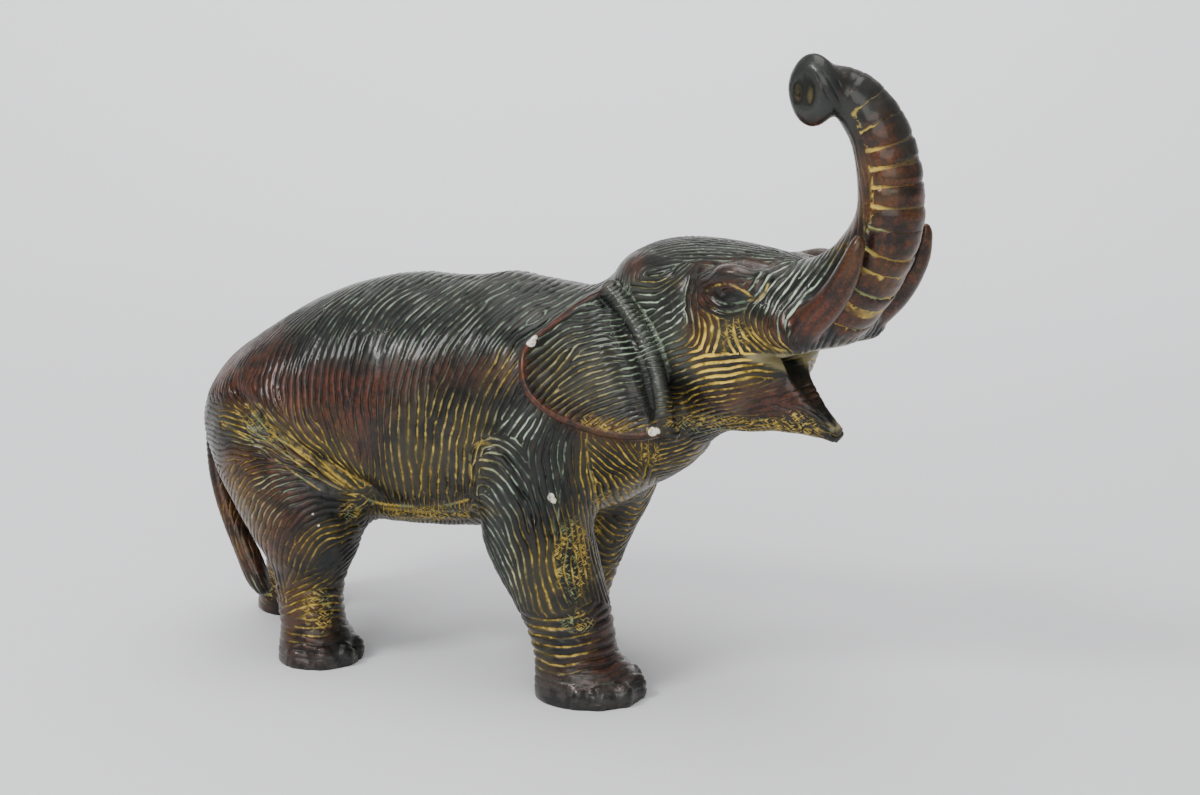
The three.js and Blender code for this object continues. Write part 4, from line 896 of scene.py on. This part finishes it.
# The phase of the wrinkles at each face's corners, counted on from the face's first corner.
thin, edges = arraysOf(mesh)
nearest = nearestIn(tree, thin)
turn = turn[nearest]
angle = np.angle(phase[nearest]) + (turn * (thin - places[nearest])).sum(1)
corners = np.empty(len(mesh.loops), np.int32)
mesh.loops.foreach_get("vertex_index", corners)
starts = np.empty(len(mesh.polygons), np.int32)
mesh.polygons.foreach_get("loop_start", starts)
first = corners[np.repeat(starts, np.diff(np.append(starts, len(corners))))]
sign = np.where((turn[first] * turn[corners]).sum(1) < 0, -1.0, 1.0)
ahead = angle[first] + ((turn[first] + sign[:, None] * turn[corners]) / 2 * (thin[corners] - thin[first])).sum(1)
own = sign * angle[corners]
own += 2 * math.pi * np.round((ahead - own) / (2 * math.pi))
layer = mesh.attributes.new("phase", "FLOAT", "CORNER")
layer.data.foreach_set("value", own.astype(np.float32))
say("wrinkle lines")


class Wire:
    def __init__(self, kit, socket):
        self.kit = kit
        self.socket = socket

    def math(self, operation, *others, clamp=False):
        return self.kit.node("ShaderNodeMath", {"operation": operation, "use_clamp": clamp}, [self, *others])

    def __add__(self, other):
        return self.math("ADD", other)

    def __sub__(self, other):
        return self.math("SUBTRACT", other)

    def __rsub__(self, other):
        return self.kit.node("ShaderNodeMath", {"operation": "SUBTRACT"}, [other, self])

    def __mul__(self, other):
        return self.math("MULTIPLY", other)

    def __truediv__(self, other):
        return self.math("DIVIDE", other)

    def __abs__(self):
        return self.math("ABSOLUTE")

    def max(self, other):
        return self.math("MAXIMUM", other)

    def clamp(self):
        return self.math("MULTIPLY", 1.0, clamp=True)

    def step(self, low, high):
        return self.kit.node("ShaderNodeMapRange", {"interpolation_type": "SMOOTHSTEP"}, [self, low, high, 0.0, 1.0])


class Kit:
    def __init__(self, name):
        self.material = bpy.data.materials.new(name)
        self.material.use_nodes = True
        self.tree = self.material.node_tree
        self.tree.nodes.clear()
        self.output = self.tree.nodes.new("ShaderNodeOutputMaterial")

    def node(self, kind, settings, inputs, out=0):
        made = self.tree.nodes.new(kind)
        for key, value in settings.items():
            setattr(made, key, value)
        pairs = inputs.items() if isinstance(inputs, dict) else enumerate(inputs)
        for key, value in pairs:
            if value is None:
                continue
            if isinstance(value, Wire):
                self.tree.links.new(value.socket, made.inputs[key])
            else:
                made.inputs[key].default_value = value
        return Wire(self, made.outputs[out])

    def attribute(self, name):
        return self.node("ShaderNodeAttribute", {"attribute_name": name}, {}, "Vector")

    def split(self, vector):
        made = self.tree.nodes.new("ShaderNodeSeparateXYZ")
        self.tree.links.new(vector.socket, made.inputs[0])
        return [Wire(self, made.outputs[i]) for i in range(3)]

    def noise(self, at, scale, detail=3.0, rough=0.55, out="Factor"):
        return self.node("ShaderNodeTexNoise", {}, {"Vector": at, "Scale": scale, "Detail": detail, "Roughness": rough},
                         0 if out == "Factor" else 1)

    def mix(self, factor, a, b):
        made = self.tree.nodes.new("ShaderNodeMix")
        made.data_type = "RGBA"
        for index, value in ((0, factor), (6, a), (7, b)):
            if isinstance(value, Wire):
                self.tree.links.new(value.socket, made.inputs[index])
            else:
                made.inputs[index].default_value = value if index == 0 else (*value, 1.0)
        return Wire(self, made.outputs[2])


kit = Kit("patinated_bronze")
at = kit.node("ShaderNodeTexCoord", {}, {}, "Object")
phaseHere = kit.node("ShaderNodeAttribute", {"attribute_name": "phase"}, {}, 2)
green, ochre, russetMask = kit.split(kit.attribute("tint"))
cutDepth, polishAndPaintedHighlight = kit.split(kit.attribute("mark"))[:2]
tipMask, foldPaint, mouthMask = kit.split(kit.attribute("paint"))
trunkRing, trunkAround, trunkMask = kit.split(kit.attribute("trunk"))
carvedGreen, carvedOchre, hatchMask = kit.split(kit.attribute("carve"))
wash, trunkHigh, onTip = kit.split(kit.attribute("wash"))
grains = {  # each noise's scale, detail and roughness
    "patchy": (60.0, 4.0, 0.6), "cloudy": (25.0, 3.0, 0.55), "mid": (220.0, 4.0, 0.62), "broken": (330.0, 3.0, 0.6),
    "worn": (150.0, 3.0, 0.6), "fine": (900.0, 3.0, 0.6), "grain": (2400.0, 2.0, 0.6),
}
patchy, cloudy, mid, broken, worn, fine, grain = [kit.noise(at, *size) for size in grains.values()]
patina = {
    "black": ((0.008, 0.0095, 0.0095), (0.0155, 0.017, 0.0165)), "cold": (0.010, 0.0135, 0.015),
    "brown": (0.037, 0.026, 0.018), "red": ((0.052, 0.0165, 0.0095), (0.112, 0.035, 0.018)),
    # mouth: a pale colour painted inside the mouth, as painted light over its shade.
    # wash: a paler ground, partly painted light over the shade on the temple.
    "mouth": (0.32, 0.28, 0.15), "wash": (0.105, 0.115, 0.10), "slate": (0.040, 0.046, 0.042),
    "green": ((0.10, 0.145, 0.095), (0.29, 0.37, 0.27), (0.44, 0.52, 0.40)), "greenGround": (0.045, 0.062, 0.046),
    "ochre": ((0.21, 0.135, 0.020), (0.60, 0.43, 0.085), (0.78, 0.54, 0.08)), "ochreGround": (0.105, 0.080, 0.022),
    # tip: a near-black painted as shade in the dish of the trunk's tip.
    "lines": ((0.22, 0.25, 0.11), (0.50, 0.35, 0.07)), "carvedGreen": (0.20, 0.27, 0.18), "tipDishPaintedShade": (0.012, 0.012, 0.011),
    # polish: a lighter grey painted as a highlight on the polished spots.
    "nostril": (0.15, 0.12, 0.05), "polishAndPaintedHighlight": (0.09, 0.09, 0.085), "chip": ((0.46, 0.40, 0.29), (0.80, 0.77, 0.70)),
    "metal": 0.4, "roughness": 0.32, "coat": 0.27, "coatRoughness": 0.14, "specular": 0.24, "relief": 0.0008,
}


# Short hand-cut ticks that lie one way.
def ticks(tilt):
    lain = kit.node("ShaderNodeMapping", {"vector_type": "TEXTURE"},
                    {"Vector": at, "Rotation": (0, tilt, 0.35), "Scale": (1 / 380, 1 / 380, 1 / 1700)})
    return kit.noise(lain, 1.0, 1.0, 0.5).step(0.58, 0.64)


hatching = (ticks(0.7).max(ticks(-0.6)) * hatchMask.step(0.15, 0.6)).clamp()

# How far across a wrinkle a place is: 0 in the bottom of its groove, pi on the ridge between two.
across = phaseHere.math("PINGPONG", math.pi)
width = broken * 1.5 + 0.12 + ochre.step(0.8, 1.4) * 0.5
inGroove = (1.0 - (across / width).step(0.45, 1.15)) * cutDepth.step(0.1, 0.6)
wideGroove = (1.0 - across.step(0.7, 2.3)) * cutDepth.step(0.05, 0.7)

base = kit.mix(patchy.step(0.38, 0.62), *patina["black"])
base = kit.mix(cloudy.step(0.5, 0.7) * 0.5, base, patina["cold"])
base = kit.mix(mid.step(0.48, 0.68) * 0.5, base, patina["brown"])
redNoise = (mid * 0.5 + patchy * 0.5).step(0.41, 0.55)
red = kit.mix(fine.step(0.35, 0.65), *patina["red"])
redAmount = (russetMask * (redNoise * 0.75 + 0.25) * (across.step(0.6, 2.0) * 0.5 + 0.5)).clamp()
base = kit.mix(redAmount, base, red)
# The inside of the mouth is painted pale: painted light over the shade in the mouth.
base = kit.mix(mouthMask * 0.85, base, patina["mouth"])
# A paler ground along the ear's rib and over the temple: partly a pale wash, partly painted light over the shade there.
base = kit.mix((wash * 0.55).clamp(), base, patina["wash"])
base = kit.mix((onTip * 0.6 + trunkHigh * 0.35).clamp() * (1.0 - russetMask), base, patina["slate"])
greenColour = kit.mix(worn.step(0.4, 0.6), *patina["green"][:2])
ochreColour = kit.mix(broken.step(0.4, 0.65), *patina["ochre"][:2])
greenColour = kit.mix(green.step(1.0, 1.4), greenColour, patina["green"][2])
ochreColour = kit.mix(ochre.step(1.0, 1.4) * worn.step(0.40, 0.50), ochreColour, patina["ochre"][2])
greenAmount = (inGroove * green * (worn.step(0.42, 0.56) * 0.75 + 0.2)).clamp()
ochreAmount = (inGroove * ochre * (worn.step(0.37, 0.51) * 0.8 + 0.2 + ochre.step(0.9, 1.4) * 0.3)).clamp()
base = kit.mix((green * wideGroove * 0.35).clamp(), base, patina["greenGround"])
base = kit.mix((ochre * (wideGroove * 0.65 + 0.2) * patchy.step(0.38, 0.58)).clamp(), base, patina["ochreGround"])
base = kit.mix(greenAmount, base, greenColour)
base = kit.mix(ochreAmount, base, ochreColour)

# Paint left in the folds across the trunk and along the edge of its front and in the body's creases; at the tip,
# painted shade darkens the dish and pale paint marks a nostril.
ringAway = (trunkRing + (worn - 0.5) * 0.22).math("PINGPONG", 0.5) * trunkRings["pitch"]
ringReach = trunkAround.step(0.0, 0.08) * (1.0 - trunkAround.step(0.3, 0.75) * trunkRing.step(8.4, 9.4) * 0.9)
ringWide = 1.45 - trunkAround.step(0.1, 0.8) * 0.5 - trunkRing.step(8.0, 9.4) * 0.3
ringLine = (1.0 - (ringAway / ringWide).step(0.35, 1.0)) * ringReach * (broken.step(0.32, 0.46) * 0.5 + 0.5)
edgeAway = abs(trunkAround + (worn - 0.5) * 0.16 - trunkRings["edge"]) * 12.0
edgeLine = (1.0 - edgeAway.step(0.3, 1.0)) * broken.step(0.50, 0.60) * 0.75
foldLine = foldPaint.step(0.35, 0.9) * ochre.step(0.2, 0.6) * worn.step(0.42, 0.56) * 0.5
carvedLine = carvedOchre.step(0.4, 0.95) * (worn.step(0.40, 0.54) * 0.8 + 0.1)
lines = ((ringLine.max(edgeLine)) * trunkMask).max(foldLine).max(carvedLine).max(hatching * 0.85).clamp()
lineColour = kit.mix(patchy.step(0.40, 0.5), *patina["lines"])
base = kit.mix(lines, base, lineColour)
base = kit.mix((carvedGreen.step(0.4, 0.95) * (broken.step(0.40, 0.56) * 0.65 + 0.1)).clamp(), base,
               patina["carvedGreen"])
# The dish of the trunk's tip is painted near-black: painted shade in the hollow.
base = kit.mix(tipMask.step(0.2, 0.9) * (1.0 - russetMask * 0.8) * 0.85, base, patina["tipDishPaintedShade"])
base = kit.mix(tipMask.step(1.1, 1.9) * worn.step(0.36, 0.6) * 0.5, base, patina["nostril"])
# Polished spots are glossier and painted a lighter grey: a painted highlight.
polishAndHighlightAmount = (polishAndPaintedHighlight * mid.step(0.35, 0.6)).clamp()
base = kit.mix(polishAndHighlightAmount * 0.6, base, patina["polishAndPaintedHighlight"])
chip = None
for place, radius in chipPlaces:
    away = kit.node("ShaderNodeVectorMath", {"operation": "DISTANCE"}, [at, tuple(place)], 1)
    spot = 1.0 - (away + (fine - 0.5) * 0.0012).step(radius * 0.9, radius * 1.05)
    chip = spot if chip is None else chip.max(spot)
base = kit.mix(chip, base, kit.mix(fine.step(0.4, 0.6), *patina["chip"]))
paintAll = greenAmount.max(ochreAmount).max(lines)
rough = patchy.step(0.3, 0.7) * 0.12 + patina["roughness"] + paintAll * 0.3 + (fine - 0.5) * 0.16 \
    + (grain - 0.5) * 0.1 - polishAndHighlightAmount * 0.14 + chip * 0.3 + tipMask.clamp() * 0.3
metal = (1.0 - paintAll).clamp() * patina["metal"] * (1.0 - chip) * (1.0 - mouthMask.clamp())
groovePart = (1.0 - (across / (width + 0.35)).step(0.1, 1.25)) * cutDepth
height = (0.0 - groovePart) * 0.75 + (fine - 0.5) * 0.10 + (mid - 0.5) * 0.22 + (grain - 0.5) * 0.03 + paintAll * 0.08 \
    - (1.0 - ringAway.step(0.0, 0.8)) * trunkMask * trunkAround.step(0.0, 0.2) * 0.5 - chip * 0.5 - hatching * 0.5
bump = kit.node("ShaderNodeBump", {}, {"Strength": 1.0, "Distance": patina["relief"], "Height": height})
shader = kit.tree.nodes.new("ShaderNodeBsdfPrincipled")
coat = ((1.0 - paintAll).clamp() * patina["coat"] * (1.0 - chip) * (1.0 - tipMask.clamp())).clamp()
for name, wire in (("Base Color", base), ("Roughness", rough), ("Metallic", metal), ("Coat Weight", coat),
                   ("Normal", bump)):
    kit.tree.links.new(wire.socket, shader.inputs[name])
shader.inputs["IOR"].default_value = 1.5
shader.inputs["Specular IOR Level"].default_value = patina["specular"]
shader.inputs["Specular Tint"].default_value = (1.0, 0.93, 0.84, 1.0)
shader.inputs["Coat Roughness"].default_value = patina["coatRoughness"]
kit.tree.links.new(shader.outputs[0], kit.output.inputs["Surface"])
mesh.materials.clear()
mesh.materials.append(kit.material)
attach(piece, "root")
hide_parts("elephant")

stageSizes = {"half": 3.0, "front": -2.2, "back": 1.5, "bend": 0.7, "tall": 0.7}
profile = [(stageSizes["front"], 0.0), (stageSizes["back"] - stageSizes["bend"], 0.0)]
for k in range(1, 13):
    turnBy = math.radians(90 * k / 12)
    profile.append((stageSizes["back"] - stageSizes["bend"] + stageSizes["bend"] * math.sin(turnBy),
                    stageSizes["bend"] * (1 - math.cos(turnBy))))
profile.append((stageSizes["back"], stageSizes["tall"]))
a = math.radians(photo["round"])
corners = []
for y, z in profile:
    for x in (-stageSizes["half"], stageSizes["half"]):
        corners.append((x * math.cos(a) - y * math.sin(a), x * math.sin(a) + y * math.cos(a), z))
faces = [(2 * i, 2 * i + 1, 2 * i + 3, 2 * i + 2) for i in range(len(profile) - 1)]
floorMesh = bpy.data.meshes.new("backdrop")
floorMesh.from_pydata(corners, [], faces)
floorMesh.shade_smooth()
floor = bpy.data.objects.new("backdrop", floorMesh)
bpy.context.scene.collection.objects.link(floor)
stageKit = Kit("paper")
stageAt = stageKit.node("ShaderNodeTexCoord", {}, {}, "Object")
paper = stageKit.mix(stageKit.noise(stageAt, 3.0), (0.77, 0.778, 0.80), (0.81, 0.818, 0.84))
stageShader = stageKit.tree.nodes.new("ShaderNodeBsdfPrincipled")
stageKit.tree.links.new(paper.socket, stageShader.inputs["Base Color"])
stageShader.inputs["Roughness"].default_value = 0.8
stageShader.inputs["Specular IOR Level"].default_value = 0.2
stageKit.tree.links.new(stageShader.outputs[0], stageKit.output.inputs["Surface"])
floorMesh.materials.append(stageKit.material)


def areaLight(name, at, aim, size, power):
    data = bpy.data.lights.new(name, "AREA")
    data.shape = "RECTANGLE"
    data.size, data.size_y = size
    data.energy = power
    lamp = bpy.data.objects.new(name, data)
    lamp.location = at
    direction = np.array(aim) - np.array(at)
    direction = direction / np.linalg.norm(direction)
    lamp.rotation_euler = (math.acos(-direction[2]), 0, math.atan2(direction[1], direction[0]) - math.pi / 2)
    bpy.context.scene.collection.objects.link(lamp)


studio = {  # each lamp's place, its aim, its sides and its watts
    "key": ((-0.6, -1.05, 1.25), (0, 0, 0.1), (0.45, 0.38), 15),
    "overhead": ((0.1, 0.0, 1.8), (0, 0, 0.05), (1.5, 1.1), 19),
    "front_soft": ((0.5, -1.8, 0.9), (0, 0, 0.12), (1.8, 1.2), 22),
    "back_wash": ((-0.33, 0.85, 1.0), (-0.52, 1.36, 0.1), (1.8, 0.4), 11),
}
for name, lamp in studio.items():
    areaLight(name, *lamp)
world = bpy.data.worlds.new("studio")
world.use_nodes = True
world.node_tree.nodes["Background"].inputs["Color"].default_value = (0.90, 0.90, 0.91, 1)
world.node_tree.nodes["Background"].inputs["Strength"].default_value = 0.48
bpy.context.scene.world = world
say("stage and lights")
